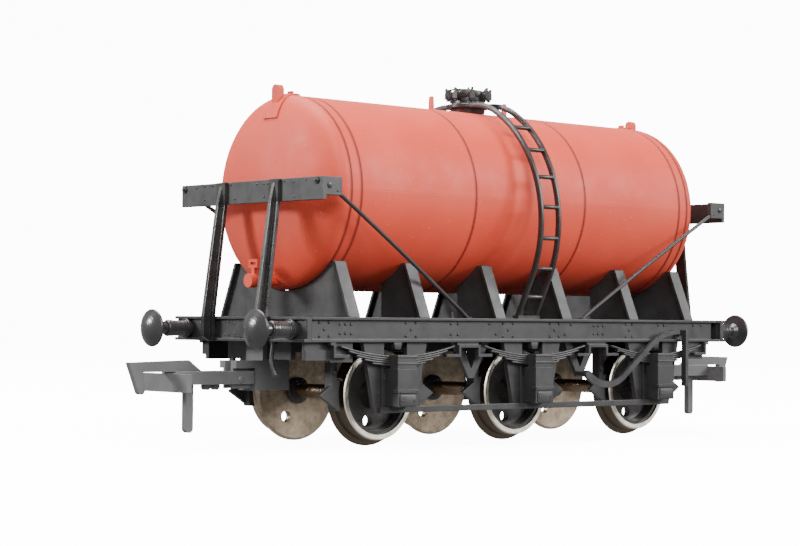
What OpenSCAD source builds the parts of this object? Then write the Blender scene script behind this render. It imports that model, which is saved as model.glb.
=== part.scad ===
// Six-wheel milk tank wagon, as a 4 mm to the foot model on 16.5 mm gauge wheels.
// +X runs along the wagon, +Y to its right side, +Z up. The origin is under the
// middle of the wagon, on the surface that the wheel flanges stand on.
// The front end is at -X and the left side at -Y. Each piece is drawn at the
// front or on the left, and its twin is the same piece turned half a turn.

/* [Wheels] */
// Distance between neighbouring axles
axle_spacing = 26; // [24:0.1:31.5]
// Radius of a wheel on its tread
tread_r = 6.25; // [5.2:0.01:6.8]
// Height of the flange above the tread
flange_depth = 0.75; // [0.5:0.05:0.9]
// Distance between the backs of the two wheels on an axle
back_to_back = 14.5; // [14:0.1:15]
// Width of a wheel over its tread and flange
wheel_w = 2.9; // [2.4:0.1:3]
// Thickness of the bright tyre from its bore to its tread
tyre_t = 0.8; // [0.5:0.05:1.2]
// Radius of the axle shaft
axle_r = 1; // [0.7:0.05:1.2]
// Radius of the thin journal at each end of the axle
journal_r = 0.6; // [0.4:0.05:0.65]
// Length of the axle from tip to tip
axle_len = 26; // [25.5:0.1:26.2]

/* [Underframe] */
// Length of the underframe over its two headstocks
frame_len = 84.5; // [80:0.1:102]
// Width of the underframe over its two solebars
frame_w = 28; // [27.6:0.1:34]
// Height of the solebars and headstocks
sole_h = 3.3; // [2.6:0.1:4.5]
// Height of the solebars' bottom edge above the axle centres
sole_lift = 7; // [6.9:0.1:8.5]
// Width of a solebar across its flanges
sole_t = 1.6; // [1.2:0.1:2]
// Thickness of a flange of the solebars and headstocks
flange_t = 0.4; // [0.3:0.05:0.6]
// How far the web lies behind the flange edges
web_recess = 0.5; // [0.2:0.05:0.7]
// Thickness of the floor between the solebars
floor_t = 1.2; // [0.8:0.1:1.6]

/* [Tank] */
// Radius of the tank barrel
tank_r = 13.2; // [11:0.1:14]
// Length of the barrel between the two domed ends
barrel_len = 68; // [64:0.5:70]
// How far each domed end bulges past the barrel
dome_depth = 4; // [2.5:0.1:4.4]
// Height of the tank axis above the top of the solebars
tank_lift = 16.8; // [15:0.1:18]
// Distance of the inner seams from the middle of the tank
seam_mid_x = 11; // [8:0.5:16]
// Distance of the outer seams from the middle of the tank
seam_end_x = 32; // [28:0.5:33]

/* [Manway] */
// Radius of the manway neck
neck_r = 2.45; // [2:0.05:3]
// Height of the neck above the top of the tank
neck_h = 2.3; // [1.8:0.1:3.2]
// Thickness of the manway lid
lid_t = 0.95; // [0.8:0.05:1.6]
// Number of wing clamps around the lid
lid_clamps = 8; // [4:1:8]

/* [Ladder] */
// Distance between the two stringers
ladder_w = 3.5; // [2.8:0.1:4.4]
// Distance of the ladder's stringers from the tank, on average
ladder_gap = 2.8; // [2.2:0.1:3.6]
// Distance of the ladder's feet from the middle of the wagon
ladder_foot_y = 12.2; // [11.5:0.1:13]
// Distance between two rungs along the hoop
rung_pitch = 4.4; // [3.5:0.1:6]
// Length of each side of the hoop, next to the manway, that has no rungs
rung_free = 9; // [7:0.5:14]

/* [Saddles] */
// Distance of the three pairs of saddles from the middle of the wagon
saddle_x = [6.7, 21.1, 33.6];
// Half width of a saddle at its top
saddle_top_y = 10.8; // [9:0.1:11]
// How far a saddle's top ends below the side of the tank above it
saddle_short = 1.8; // [0:0.1:2.4]
// Half width of the opening in the middle of the four inner saddles
saddle_open_y = 5.3; // [4:0.1:6.5]
// Width of the strip along a saddle's sloping edge
saddle_strip_w = 1.9; // [1:0.1:2.4]

/* [End frames] */
// Half width of the cross beam at each end of the tank
beam_half_w = 15.2; // [14.5:0.1:17]
// Height of the cross beam
beam_h = 3; // [2:0.1:3.6]
// Distance from a post to the wagon's middle line
post_y = 5.7; // [4.5:0.1:7]
// Radius of a diagonal tie rod
rod_r = 0.28; // [0.2:0.02:0.5]
// Distance of a tie rod's foot from the middle of the wagon
rod_foot_x = 11.5; // [9:0.5:16]

/* [Buffers] */
// Distance of a buffer from the wagon's middle line
buffer_y = 11.3; // [10.5:0.1:11.6]
// Radius of a buffer head
buffer_head_r = 2.55; // [2:0.05:3.2]
// How far the buffer heads stand out from the headstock
buffer_reach = 6.8; // [5.5:0.1:7.5]

/* [Running gear] */
// Half length of a leaf spring
spring_half = 10.1; // [8.5:0.1:11]
// Thickness of one spring leaf
leaf_t = 0.28; // [0.2:0.01:0.32]
// Number of leaves in a spring
leaves = 5; // [3:1:6]
// Width of an axlebox
axlebox_w = 3.6; // [3:0.1:4]
// How far the axlebox covers stand out past the solebars
axlebox_out = 1.9; // [1:0.1:2.4]
// Gap between a brake shoe and the wheel tread
shoe_gap = 0.6; // [0.4:0.05:0.9]

/* [Couplings] */
// Distance of the hook's pivot from the headstock face
pivot_in = 0.45; // [0.2:0.05:1]
// Length of the coupling from the pivot to the tip of the hook
hook_len = 17; // [15:0.5:19]
// Half width of the bumper bar
bumper_half = 4.8; // [4:0.1:6.5]
// Thickness of the hook
hook_t = 0.9; // [0.7:0.1:1.2]

/* [Hidden] */
// Smoothness of the round pieces
$fn = 64;
// Running clearance around a journal or a pin
run_gap = 0.05;
// Gap between pieces that are glued or pressed together on a curved face
seat_gap = 0.03;
// Overshoot of a cutting shape past the face that it cuts
over = 1;

axle_z = tread_r + flange_depth;
axle_xs = [-axle_spacing, 0, axle_spacing];
wheel_back = back_to_back / 2;
wheel_face = wheel_back + wheel_w;
rim_r = tread_r - tyre_t;
wheel_r = tread_r + flange_depth;
hub_r = axle_r + 0.9;
flange_w = 0.8;
hole_r = 0.8;
hole_at = 3.6;
plastic_hole_x = -0.45;
metal_hole_x = -1.9;

sole_z = axle_z + sole_lift;
sole_top = sole_z + sole_h;
half_len = frame_len / 2;
half_w = frame_w / 2;
head_t = 1.3;
sole_len = frame_len - 2 * head_t;
web_face_y = half_w - web_recess;
window_x = [half_len - 2.9, half_len - head_t];

guard_face_y = half_w - 0.6;
guard_t = 0.7;
box_low_z = axle_z - 1.5;
tie_bar_h = 0.85;
guard_low_z = box_low_z - tie_bar_h;
bearing_in_y = axle_len / 2 - 1.2;
bearing_r = journal_r + 1;
tie_bar_over = 3;
tie_bar_y = half_w - 0.05;

spring_face_y = half_w + 0.2;
spring_w = spring_face_y - guard_face_y - seat_gap;
spring_rise = 1.35;
spring_top_z = axle_z + 5.25;
spring_low_z = spring_top_z - leaves * leaf_t;
shackle_t = 0.4;
shackle_foot_z = sole_z - 2;
spring_seat = 1.45;
bridge_half = 2.05;
bridge_foot = axle_spacing / 2 - bridge_half - spring_half + spring_seat;
outer_gap = 0.9;
outer_shackle_x = axle_spacing + spring_half + outer_gap;
outer_foot = outer_gap + spring_seat;
hanger_x = axle_spacing - 15;
hanger_y = half_w - 1.6;
block_h = 1.35;
block_len = 4.85;
block_t = 0.8;

tank_z = sole_top + tank_lift;
tank_top = tank_z + tank_r;
groove_w = 0.35;
groove_d = 0.12;
rim_seam_x = barrel_len / 2 - 0.25;
dome_power = 2.3;
dome_steps = 20;
strap_w = 2.9;
strap_t = 0.25;
strap_low = 9.9;
rim_free = 1;
post_rise = 2;
post_in = 3.6;

neck_top = tank_top + neck_h;
lid_r = neck_r + 0.15;
clamp_reach = 0.85;
lid_turn = 11;
ring_z = tank_top + 0.65;
ring_w = 0.75;
ring_t = 0.6;

stringer_w = 0.55;
stringer_t = 0.8;
rung_r = 0.3;
hoop_r = tank_r + ladder_gap;
hoop_flat = neck_r + 0.45;
hoop_flat_z = ring_z + ring_t / 2;
ladder_foot_z = sole_top + 0.3;
rung_first = 3.1;
arc_steps = 9;
// The arcs of one side of the hoop from the flat top down: the share of hoop_r
// that is the arc's radius, and the slopes at its two ends
hoop_arcs = [[0.57, 0, 30], [1.156, 30, 115]];

saddle_t = 0.7;
saddle_foot_y = half_w - 0.1;
strip_t = 0.5;

beam_t = 0.7;
beam_x = half_len - 1.85;
beam_z = tank_z - 0.25;
bracket_len = 3.3;
bracket_w = 0.7;
bracket_y = beam_half_w - bracket_w / 2;
post_w = 1.9;
post_t = 0.5;
post_web_t = 0.6;
post_web_d = 1;
rod_head = [beam_x - bracket_len + 0.2, bracket_y, beam_z - beam_h / 2 + 0.9];
rod_foot = [rod_foot_x, half_w - sole_t / 2 - 1, sole_top];

buffer_z = sole_z + sole_h / 2;
shank_r = 0.75;
collar_r = 1.3;
collar_len = 0.35;
sleeve_r = 1.05;
sleeve_len = 4;
sleeve_edge = 0.12;

pocket_x = half_len - 1.75;
pocket_half = 1.8;
hook_z = axle_z + 1.95;
lever_t = 0.55;
pivot = [half_len - pivot_in + 0.9, hook_z];
pin_r = 0.4;
eye_r = 0.95;
cheek_in = hook_t / 2 + 0.15;
cheek_t = 0.45;
prong_w = 1.2;
prong_len = 3.2;
tip_x = pivot[0] + hook_len;
bumper_x = tip_x - 5.8;
bumper_h = 2.4;
bumper_t = 0.8;

steel = "#b9b4aa";
nickel = "#a39c8d";
plastic = "#2c2c2e";
tank_red = "#c8362b";

// Half length of each spring leaf, longest first
function leaf_half(i) = spring_half - i * spring_half / (leaves + 2.5);

// Height of a leaf above the lowest point of its curve, at a distance x from its middle
function leaf_rise(x) = spring_rise * pow(x / spring_half, 2);

// A point on the domed end's outline, a flattened round with a tight shoulder
function dome_point(k, grow = 0) =
    let (a = 90 * k / dome_steps)
    [(tank_r + grow) * pow(cos(a), 2 / dome_power),
     barrel_len / 2 + (dome_depth + grow) * pow(sin(a), 2 / dome_power)];

// The notch that a seam leaves in the barrel's outline
function seam_notch(x) = [
    [tank_r, x - groove_w / 2], [tank_r - groove_d, x - groove_w / 4],
    [tank_r - groove_d, x + groove_w / 4], [tank_r, x + groove_w / 2]];

// Way along an arc of the hoop, from its upper end to the slope a
function arc_way(arc, a) = hoop_r * arc[0] * [sin(arc[1]) - sin(a), cos(a) - cos(arc[1])];

// The upper end of the hoop's arc k, on the left side
function arc_start(k) = k == 0 ? [-hoop_flat, hoop_flat_z]
    : arc_start(k - 1) + arc_way(hoop_arcs[k - 1], hoop_arcs[k - 1][2]);

// Middle line of the ladder, as points across the wagon from the left foot to the right one
hoop_down = [for (k = [0 : len(hoop_arcs) - 1], step = [k == 0 ? 0 : 1 : arc_steps])
    let (arc = hoop_arcs[k])
    arc_start(k) + arc_way(arc, arc[1] + (arc[2] - arc[1]) * step / arc_steps)];
hoop_half = concat(
    [[-ladder_foot_y, ladder_foot_z]],
    [for (k = [len(hoop_down) - 1 : -1 : 0]) hoop_down[k]]);
hoop = concat(hoop_half, [for (k = [len(hoop_half) - 1 : -1 : 0]) [-hoop_half[k][0], hoop_half[k][1]]]);

// Direction square to the hoop at its point k
function hoop_square(k) =
    let (a = hoop[max(k - 1, 0)], b = hoop[min(k + 1, len(hoop) - 1)], d = (b - a) / norm(b - a))
    [-d[1], d[0]];

// Length along the hoop up to its point k
function hoop_run(k) = k == 0 ? 0 : hoop_run(k - 1) + norm(hoop[k] - hoop[k - 1]);

// The place on the hoop at a distance s from the left foot
function hoop_at(s, k = 1) =
    s <= hoop_run(k) || k == len(hoop) - 1
    ? hoop[k] + (hoop[k - 1] - hoop[k]) * (hoop_run(k) - s) / norm(hoop[k] - hoop[k - 1])
    : hoop_at(s, k + 1);
hoop_len = hoop_run(len(hoop) - 1);
rungs_a_side = 1 + floor((hoop_len / 2 - rung_first - rung_free) / rung_pitch);

WAGON_NODES = [
    "tank_upper", "tank_lower", "manway_neck", "manway_lid", "lifting_lugs", "end_fittings",
    "ladder", "saddles", "end_beam_front", "end_beam_rear", "end_posts_front", "end_posts_rear",
    "tie_rods", "floor", "inner_frames", "solebar_left", "solebar_right",
    "headstock_front", "headstock_rear",
    "buffer_housings_front", "buffer_housings_rear", "buffer_heads_front", "buffer_heads_rear",
    "axleguards_left", "axleguards_right", "springs_left", "springs_right",
    "shackles_left", "shackles_right", "axleboxes_left", "axleboxes_right",
    "tie_bar_left", "tie_bar_right", "v_hangers", "brake_shoes",
    "brake_lever_left", "brake_lever_right", "lever_guard_left", "lever_guard_right",
    "coupling_mount_front", "coupling_mount_rear", "bumper_front", "bumper_rear"];
MOVING_NODES = [
    "hook_front", "hook_rear",
    "axle_1", "tyre_1", "wheel_centre_1", "metal_wheel_1",
    "axle_2", "tyre_2", "wheel_centre_2", "metal_wheel_2",
    "axle_3", "tyre_3", "wheel_centre_3", "metal_wheel_3"];

// Helpers

// The same piece at the other end or on the other side
module turned(back) {
    rotate([0, 0, back ? 180 : 0]) children();
}

// An outline drawn along the wagon and up, made w wide across it from y
module across(y, w) {
    translate([0, y + w, 0]) rotate([90, 0, 0]) linear_extrude(w) children();
}

// An outline drawn across the wagon and up, made t thick along it from x
module along(x, t) {
    translate([x, 0, 0]) rotate([90, 0, 90]) linear_extrude(t) children();
}

// A round bar between two points
module bar(a, b, r) {
    d = b - a;
    translate(a)
        rotate([0, acos(d[2] / norm(d)), atan2(d[1], d[0])])
            cylinder(r = r, h = norm(d), $fn = 24);
}

// A round piece lying across the wagon, from its outline of radius and place
module turned_across(points) {
    rotate([-90, 0, 0]) rotate_extrude() polygon(points);
}

// Tank

// The outline turned about the tank axis
module tank_round(outline) {
    translate([0, 0, tank_z]) rotate([0, 90, 0]) rotate_extrude($fn = 96) polygon(outline);
}

module tank_body() {
    tank_round(concat(
        [[0, -barrel_len / 2 - dome_depth]],
        [for (k = [dome_steps - 1 : -1 : 0]) [dome_point(k)[0], -dome_point(k)[1]]],
        seam_notch(-rim_seam_x), seam_notch(-seam_end_x), seam_notch(-seam_mid_x),
        seam_notch(seam_mid_x), seam_notch(seam_end_x), seam_notch(rim_seam_x),
        [for (k = [0 : dome_steps - 1]) dome_point(k)],
        [[0, barrel_len / 2 + dome_depth]]));
}

module tank_half(up) {
    reach = barrel_len / 2 + dome_depth + over;
    color(tank_red) intersection() {
        tank_body();
        translate([-reach, -tank_r - over, up ? tank_z : tank_z - tank_r - over])
            cube([2 * reach, 2 * (tank_r + over), tank_r + over]);
    }
}

module tank_room() {
    translate([-frame_len, 0, tank_z]) rotate([0, 90, 0])
        cylinder(r = tank_r + seat_gap, h = 2 * frame_len, $fn = 96);
}

module manway_neck() {
    foot_z = tank_z + sqrt(tank_r * tank_r - neck_r * neck_r) - 0.3;
    color(plastic) difference() {
        translate([0, 0, foot_z]) cylinder(r = neck_r, h = neck_top - foot_z);
        tank_room();
    }
}

// A wing clamp: a block on the lid's rim with a drawn-up pointed fin
module lid_clamp() {
    clamp_w = 0.8;
    clamp_h = 0.6;
    fin_t = 0.3;
    tip_r = lid_r + clamp_reach;
    fin_top = lid_t + 0.35;
    translate([lid_r - 0.6, -clamp_w / 2, 0]) cube([tip_r - lid_r + 0.6, clamp_w, clamp_h]);
    translate([neck_r + seat_gap, -clamp_w / 2, -0.3]) cube([tip_r - neck_r - seat_gap, clamp_w, 0.4]);
    across(-fin_t / 2, fin_t)
        polygon([[tip_r - 1, clamp_h], [tip_r, clamp_h], [tip_r, fin_top], [tip_r - 0.25, fin_top]]);
}

module manway_lid() {
    color(plastic) translate([0, 0, neck_top]) {
        cylinder(r = lid_r, h = lid_t * 0.7);
        cylinder(r = lid_r - 0.35, h = lid_t);
        for (k = [0 : lid_clamps - 1]) rotate([0, 0, lid_turn + k * 360 / lid_clamps]) lid_clamp();
    }
}

// A post with a round top on the barrel, a little thinner at its top than at its foot
module lifting_post(x) {
    foot = 0.42;
    top_r = 0.3;
    post_t = 0.45;
    top_z = tank_top + post_rise;
    color(tank_red) difference() {
        translate([x, 0, 0]) across(-post_t / 2, post_t) {
            polygon([[-foot, tank_top - 0.2], [foot, tank_top - 0.2], [top_r, top_z - top_r],
                     [-top_r, top_z - top_r]]);
            translate([0, top_z - top_r]) circle(r = top_r, $fn = 32);
        }
        tank_room();
    }
}

// The strap that lies over the front dome's shoulder, with a round lug and a small nib on it
module shoulder_strap() {
    lug_x = barrel_len / 2 + 1.7;
    lug_r = strap_w / 4;
    lug_top = tank_top + 1.35;
    lug_foot = tank_top - 2;
    color(tank_red) difference() {
        union() {
            intersection() {
                tank_round(concat(
                    [[0, -barrel_len / 2 - dome_depth - strap_t]],
                    [for (k = [dome_steps - 1 : -1 : 0])
                        [dome_point(k, strap_t)[0], -dome_point(k, strap_t)[1]]],
                    [[tank_r + strap_t, 0], [0, 0]]));
                translate([-barrel_len, -strap_w / 2, tank_z + strap_low])
                    cube([barrel_len / 2 + rim_free, strap_w, tank_r]);
            }
            along(-lug_x - 0.5, 1) {
                translate([-lug_r, lug_foot]) square([2 * lug_r, lug_top - lug_r - lug_foot]);
                translate([0, lug_top - lug_r]) circle(r = lug_r, $fn = 32);
            }
            translate([-barrel_len / 2 + 0.3, -0.45, tank_top - 0.2]) cube([0.4, 0.9, 0.8]);
        }
        tank_body();
    }
}

module lifting_lugs() {
    for (side = [-1, 1]) lifting_post(side * (seam_mid_x - post_in));
    for (back = [false, true]) turned(back) shoulder_strap();
}

// The outlet pipe with its round cap, low on the domed end, and the square handle over it
module end_fitting() {
    cap_r = 0.95;
    pipe_r = 0.6;
    handle_w = 1.9;
    handle_h = 1.15;
    handle_t = 0.5;
    rim_w = 0.4;
    valve_z = tank_z - tank_r * 0.91;
    cap_x = barrel_len / 2 + dome_depth + 2.5;
    handle_x = cap_x - 0.8;
    handle_z = valve_z + 1.7;
    translate([-cap_x, 0, valve_z]) rotate([0, 90, 0]) cylinder(r = cap_r, h = 1.1, $fn = 32);
    translate([-cap_x, 0, valve_z]) rotate([0, 90, 0]) cylinder(r = pipe_r, h = 6, $fn = 32);
    translate([-handle_x, -0.3, valve_z]) cube([handle_t, 0.6, handle_z - valve_z + 0.1]);
    difference() {
        translate([-handle_x, -handle_w / 2, handle_z]) cube([handle_t, handle_w, handle_h]);
        translate([-handle_x - over, -handle_w / 2 + rim_w, handle_z + rim_w])
            cube([handle_t + 2 * over, handle_w - 2 * rim_w, handle_h - 2 * rim_w]);
    }
}

module end_fittings() {
    color(tank_red) difference() {
        for (back = [false, true]) turned(back) end_fitting();
        tank_body();
    }
}

// Ladder

module stringer(x) {
    last = len(hoop) - 1;
    outer = [for (k = [0 : last]) hoop[k] + hoop_square(k) * stringer_t / 2];
    inner = [for (k = [last : -1 : 0]) hoop[k] - hoop_square(k) * stringer_t / 2];
    along(x - stringer_w / 2, stringer_w) polygon(concat(outer, inner));
}

module ladder() {
    foot_h = 0.45;
    color(plastic) difference() {
        union() {
            for (side = [-1, 1]) {
                stringer(side * ladder_w / 2);
                translate([-ladder_w / 2 - 0.5, side * ladder_foot_y - 0.6, sole_top])
                    cube([ladder_w + 1, 1.2, foot_h]);
            }
            for (side = [0, 1], k = [0 : rungs_a_side - 1]) {
                p = hoop_at(rung_first + k * rung_pitch);
                mirror([0, side, 0])
                    translate([-ladder_w / 2, p[0], p[1]]) rotate([0, 90, 0])
                        cylinder(r = rung_r, h = ladder_w, $fn = 24);
            }
            translate([0, 0, ring_z]) cylinder(r = neck_r + ring_w, h = ring_t);
        }
        translate([0, 0, ring_z - 3]) cylinder(r = neck_r + seat_gap, h = 6);
        translate([-ladder_w, -half_w, sole_top - 2]) cube([2 * ladder_w, frame_w, 2]);
    }
}

// Saddles

module saddle(x, open) {
    top_z = tank_z - sqrt(tank_r * tank_r - saddle_top_y * saddle_top_y) - saddle_short;
    difference() {
        union() {
            along(x - saddle_t / 2, saddle_t)
                polygon([[-saddle_foot_y, sole_top], [saddle_foot_y, sole_top],
                         [saddle_top_y, top_z], [-saddle_top_y, top_z]]);
            for (side = [-1, 1])
                along(x - saddle_strip_w / 2, saddle_strip_w)
                    polygon([[side * saddle_foot_y, sole_top],
                             [side * (saddle_foot_y - strip_t), sole_top],
                             [side * (saddle_top_y - strip_t), top_z],
                             [side * saddle_top_y, top_z]]);
        }
        tank_room();
        if (open)
            translate([x - saddle_t, -saddle_open_y, sole_top - over])
                cube([2 * saddle_t, 2 * saddle_open_y, tank_z - sole_top]);
    }
}

module saddles() {
    color(plastic) for (k = [0 : len(saddle_x) - 1], side = [-1, 1])
        saddle(side * saddle_x[k], k < len(saddle_x) - 1);
}

// End frames and tie rods

module end_beam() {
    color(plastic) {
        translate([-beam_x, -beam_half_w, beam_z - beam_h / 2]) cube([beam_t, 2 * beam_half_w, beam_h]);
        for (side = [-1, 1])
            translate([-beam_x, side * bracket_y - bracket_w / 2, beam_z - beam_h / 2 + 0.6])
                cube([bracket_len, bracket_w, beam_h - 0.6]);
    }
}

module end_post(y) {
    foot_x = -half_len;
    lean = half_len - beam_x;
    top_z = beam_z + beam_h / 2;
    beam_low = beam_z - beam_h / 2;
    across(y - post_w / 2, post_w)
        polygon([[foot_x, sole_z], [foot_x, sole_top], [foot_x + lean, beam_low], [foot_x + lean, top_z],
                 [foot_x + lean - post_t, top_z], [foot_x + lean - post_t, beam_low],
                 [foot_x - post_t, sole_top], [foot_x - post_t, sole_z]]);
    across(y - post_web_t / 2, post_web_t)
        polygon([[foot_x - post_t, sole_z], [foot_x - post_t, sole_top],
                 [foot_x + lean - post_t, beam_low], [foot_x + lean - post_t, top_z - 0.5],
                 [foot_x + lean - post_t - post_web_d * 0.6, beam_low],
                 [foot_x - post_t - post_web_d, sole_top], [foot_x - post_t - post_web_d, sole_z + 0.6]]);
}

module end_posts() {
    color(plastic) for (side = [-1, 1]) end_post(side * post_y);
}

module tie_rods() {
    color(plastic) difference() {
        for (sx = [-1, 1], sy = [-1, 1]) {
            head = [sx * rod_head[0], sy * rod_head[1], rod_head[2]];
            foot = [sx * rod_foot[0], sy * rod_foot[1], rod_foot[2] - 0.3];
            bar(head, foot, rod_r);
        }
        translate([-half_len, -half_w, sole_top - 3]) cube([frame_len, frame_w, 3]);
        for (back = [false, true]) turned(back)
            translate([-beam_x - over, -beam_half_w - over, beam_z - beam_h / 2])
                cube([bracket_len + over, 2 * (beam_half_w + over), beam_h]);
    }
}

// Underframe

module underfloor() {
    color(plastic)
        translate([-half_len + head_t, -half_w + sole_t, sole_top - floor_t])
            cube([sole_len, frame_w - 2 * sole_t, floor_t]);
}

// Two deep rails under the floor, inside the wheels, with end plates that reach in to the coupling mounts
module inner_frames() {
    rail_y = wheel_back - 0.45;
    rail_t = 0.8;
    rail_low_z = axle_z + 5.6;
    plate_low_z = axle_z + 4.6;
    rail_end_x = half_len - 3.7;
    top_z = sole_top - floor_t;
    color(plastic) {
        for (side = [-1, 1])
            translate([-rail_end_x, side > 0 ? rail_y - rail_t : -rail_y, rail_low_z])
                cube([2 * rail_end_x, rail_t, top_z - rail_low_z]);
        for (side = [-1, 1], arm = [-1, 1])
            translate([side > 0 ? rail_end_x - rail_t : -rail_end_x,
                       arm > 0 ? pocket_half + seat_gap : -rail_y, plate_low_z])
                cube([rail_t, rail_y - pocket_half - seat_gap, top_z - plate_low_z]);
    }
}

module solebar() {
    color(plastic) difference() {
        translate([-sole_len / 2, -half_w, sole_z]) cube([sole_len, sole_t, sole_h]);
        translate([-sole_len / 2 - over, -half_w - over, sole_z + flange_t])
            cube([sole_len + 2 * over, web_recess + over, sole_h - 2 * flange_t]);
        translate([window_x[0], -half_w - over, sole_z + flange_t])
            cube([window_x[1] - window_x[0] - 0.3, sole_t + 2 * over, sole_h - 2 * flange_t]);
    }
}

module headstock() {
    color(plastic) difference() {
        translate([-half_len, -half_w, sole_z]) cube([head_t, frame_w, sole_h]);
        translate([-half_len - over, -half_w - over, sole_z + flange_t])
            cube([web_recess + over, frame_w + 2 * over, sole_h - 2 * flange_t]);
    }
}

module buffer_housings() {
    bore_r = shank_r + run_gap;
    base_r = sole_h / 2 - flange_t - seat_gap;
    base_len = web_recess + seat_gap;
    color(plastic) for (side = [-1, 1])
        translate([-half_len + web_recess, side * buffer_y, buffer_z]) rotate([0, -90, 0])
            rotate_extrude() polygon([
                [bore_r, 0], [base_r, 0], [base_r, base_len],
                [collar_r, base_len], [collar_r, base_len + collar_len], [sleeve_r, base_len + collar_len],
                [sleeve_r, sleeve_len - sleeve_edge], [sleeve_r - sleeve_edge, sleeve_len],
                [bore_r, sleeve_len]]);
}

module buffer_heads() {
    reach = buffer_reach + web_recess;
    color(plastic) for (side = [-1, 1])
        translate([-half_len + web_recess, side * buffer_y, buffer_z]) rotate([0, -90, 0])
            rotate_extrude() polygon(concat(
                [[0, 0.1], [shank_r, 0.1], [shank_r, reach - 2.3], [1.2, reach - 1.75],
                 [buffer_head_r - 0.35, reach - 1.4]],
                [for (a = [-60 : 15 : 60])
                    [buffer_head_r - 0.25 + 0.25 * cos(a), reach - 1.1 + 0.25 * sin(a)]],
                [for (k = [6 : -1 : 0])
                    [(buffer_head_r - 0.15) * k / 7, reach - 0.9 * pow(k / 7, 2.2)]]));
}

// Running gear

module axleguards() {
    top_z = sole_z;
    color(plastic) for (x = axle_xs) {
        for (side = [-1, 1])
            across(-guard_face_y, guard_t)
                polygon([[x + side * 2.05, top_z], [x + side * 5.7, top_z],
                         [x + side * 3.6, guard_low_z], [x + side * 2.1, guard_low_z]]);
        difference() {
            union() {
                across(-guard_face_y, guard_t)
                    polygon([[x - 2.3, axle_z - 1.7], [x + 2.3, axle_z - 1.7],
                             [x + 2.3, axle_z + 2.2], [x - 2.3, axle_z + 2.2]]);
                translate([x, -guard_face_y + guard_t, axle_z]) rotate([-90, 0, 0])
                    cylinder(r = bearing_r, h = guard_face_y - guard_t - bearing_in_y);
            }
            translate([x, -axle_len / 2 - run_gap, axle_z]) rotate([-90, 0, 0])
                cylinder(r = journal_r + run_gap, h = 4);
        }
    }
}

// The stepped ends of the leaves on one side, down to the lowest leaf's tip
spring_steps = [for (i = [0 : leaves - 1])
    let (half = leaf_half(i), inner = i < leaves - 1 ? leaf_half(i + 1) : 0,
         low = spring_top_z - (i + 1) * leaf_t)
    for (k = [0 : 4])
        let (u = half + (inner - half) * k / 4)
        if (i < leaves - 1 || k < 4) [u, low + leaf_rise(u)]];

module leaf_spring(x) {
    top_steps = 16;
    top = [for (k = [0 : top_steps])
        let (u = spring_half * (2 * k / top_steps - 1)) [u, spring_top_z + leaf_rise(u)]];
    left_steps = [for (k = [len(spring_steps) - 1 : -1 : 0]) [-spring_steps[k][0], spring_steps[k][1]]];
    translate([x, 0, 0]) across(-spring_face_y, spring_w)
        polygon(concat(top, spring_steps, [[0, spring_low_z]], left_steps));
}

module springs() {
    color(plastic) for (x = axle_xs) leaf_spring(x);
}

// A strip of the shackles' width, from its low corner along the wagon and up
module shackle_strip(x, z, length, height) {
    translate([x, -spring_face_y, z]) cube([length, spring_w, height]);
}

// The bracket between two springs: a bridge on two legs with spreading feet
module shackle_bridge(x) {
    shackle_strip(x - bridge_half, sole_z - 0.75, 2 * bridge_half, shackle_t);
    translate([x - bridge_half, -half_w + 0.2, sole_z - 0.5])
        cube([2 * bridge_half, half_w - 0.2 - guard_face_y, 0.5]);
    shackle_strip(x - bridge_half, shackle_foot_z, shackle_t, sole_z - 0.5 - shackle_foot_z);
    shackle_strip(x + bridge_half - shackle_t, shackle_foot_z, shackle_t, sole_z - 0.5 - shackle_foot_z);
    shackle_strip(x - bridge_half - bridge_foot, shackle_foot_z, bridge_foot, shackle_t);
    shackle_strip(x + bridge_half, shackle_foot_z, bridge_foot, shackle_t);
}

// The bracket outside the last spring, with a plate behind the spring's end
module shackle_end(side) {
    plate_len = 3.85;
    plate_low_z = sole_z - 2.6;
    mirror([side < 0 ? 1 : 0, 0, 0]) {
        translate([outer_shackle_x + shackle_t - plate_len, -guard_face_y - seat_gap, plate_low_z])
            cube([plate_len, block_t, sole_z - plate_low_z]);
        shackle_strip(outer_shackle_x, shackle_foot_z, shackle_t, sole_z - shackle_foot_z);
        shackle_strip(outer_shackle_x, sole_z - shackle_t, 0.9, shackle_t);
        shackle_strip(outer_shackle_x - outer_foot, shackle_foot_z, outer_foot, shackle_t);
    }
}

// The block beyond the bracket at one end
module end_block() {
    x = half_len - 0.8 - block_len;
    translate([-x - block_len, -guard_face_y + seat_gap, sole_z - 1 - block_h])
        cube([block_len, block_t, block_h]);
    translate([-x - block_len, -guard_face_y + 0.3, sole_z - 1]) cube([block_len, block_t - 0.3, 1]);
}

module shackles() {
    color(plastic) {
        for (side = [-1, 1]) {
            shackle_bridge(side * axle_spacing / 2);
            shackle_end(side);
        }
        end_block();
    }
}

module axlebox(x) {
    face_y = half_w + axlebox_out;
    half = axlebox_w / 2;
    low_z = box_low_z;
    step_z = spring_low_z - 0.35;
    buckle_y = face_y - 0.15;
    // lower box, with the ledge of its oil cover
    translate([x - half, -face_y, low_z])
        cube([axlebox_w, face_y - guard_face_y - seat_gap, step_z - low_z]);
    translate([x - half - 0.15, -face_y - 0.25, axle_z + 0.35]) cube([axlebox_w + 0.3, 1, 0.4]);
    // buckle in front of the spring
    translate([x - half + 0.1, -buckle_y, step_z - 0.1])
        cube([axlebox_w - 0.2, buckle_y - spring_face_y - seat_gap, spring_top_z + 0.2 - step_z]);
}

module axleboxes() {
    color(plastic) for (x = axle_xs) axlebox(x);
}

module tie_bar() {
    half = axle_spacing + tie_bar_over;
    color(plastic)
        translate([-half, -tie_bar_y, guard_low_z])
            cube([2 * half, tie_bar_y - guard_face_y - seat_gap, tie_bar_h - seat_gap]);
}

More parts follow.
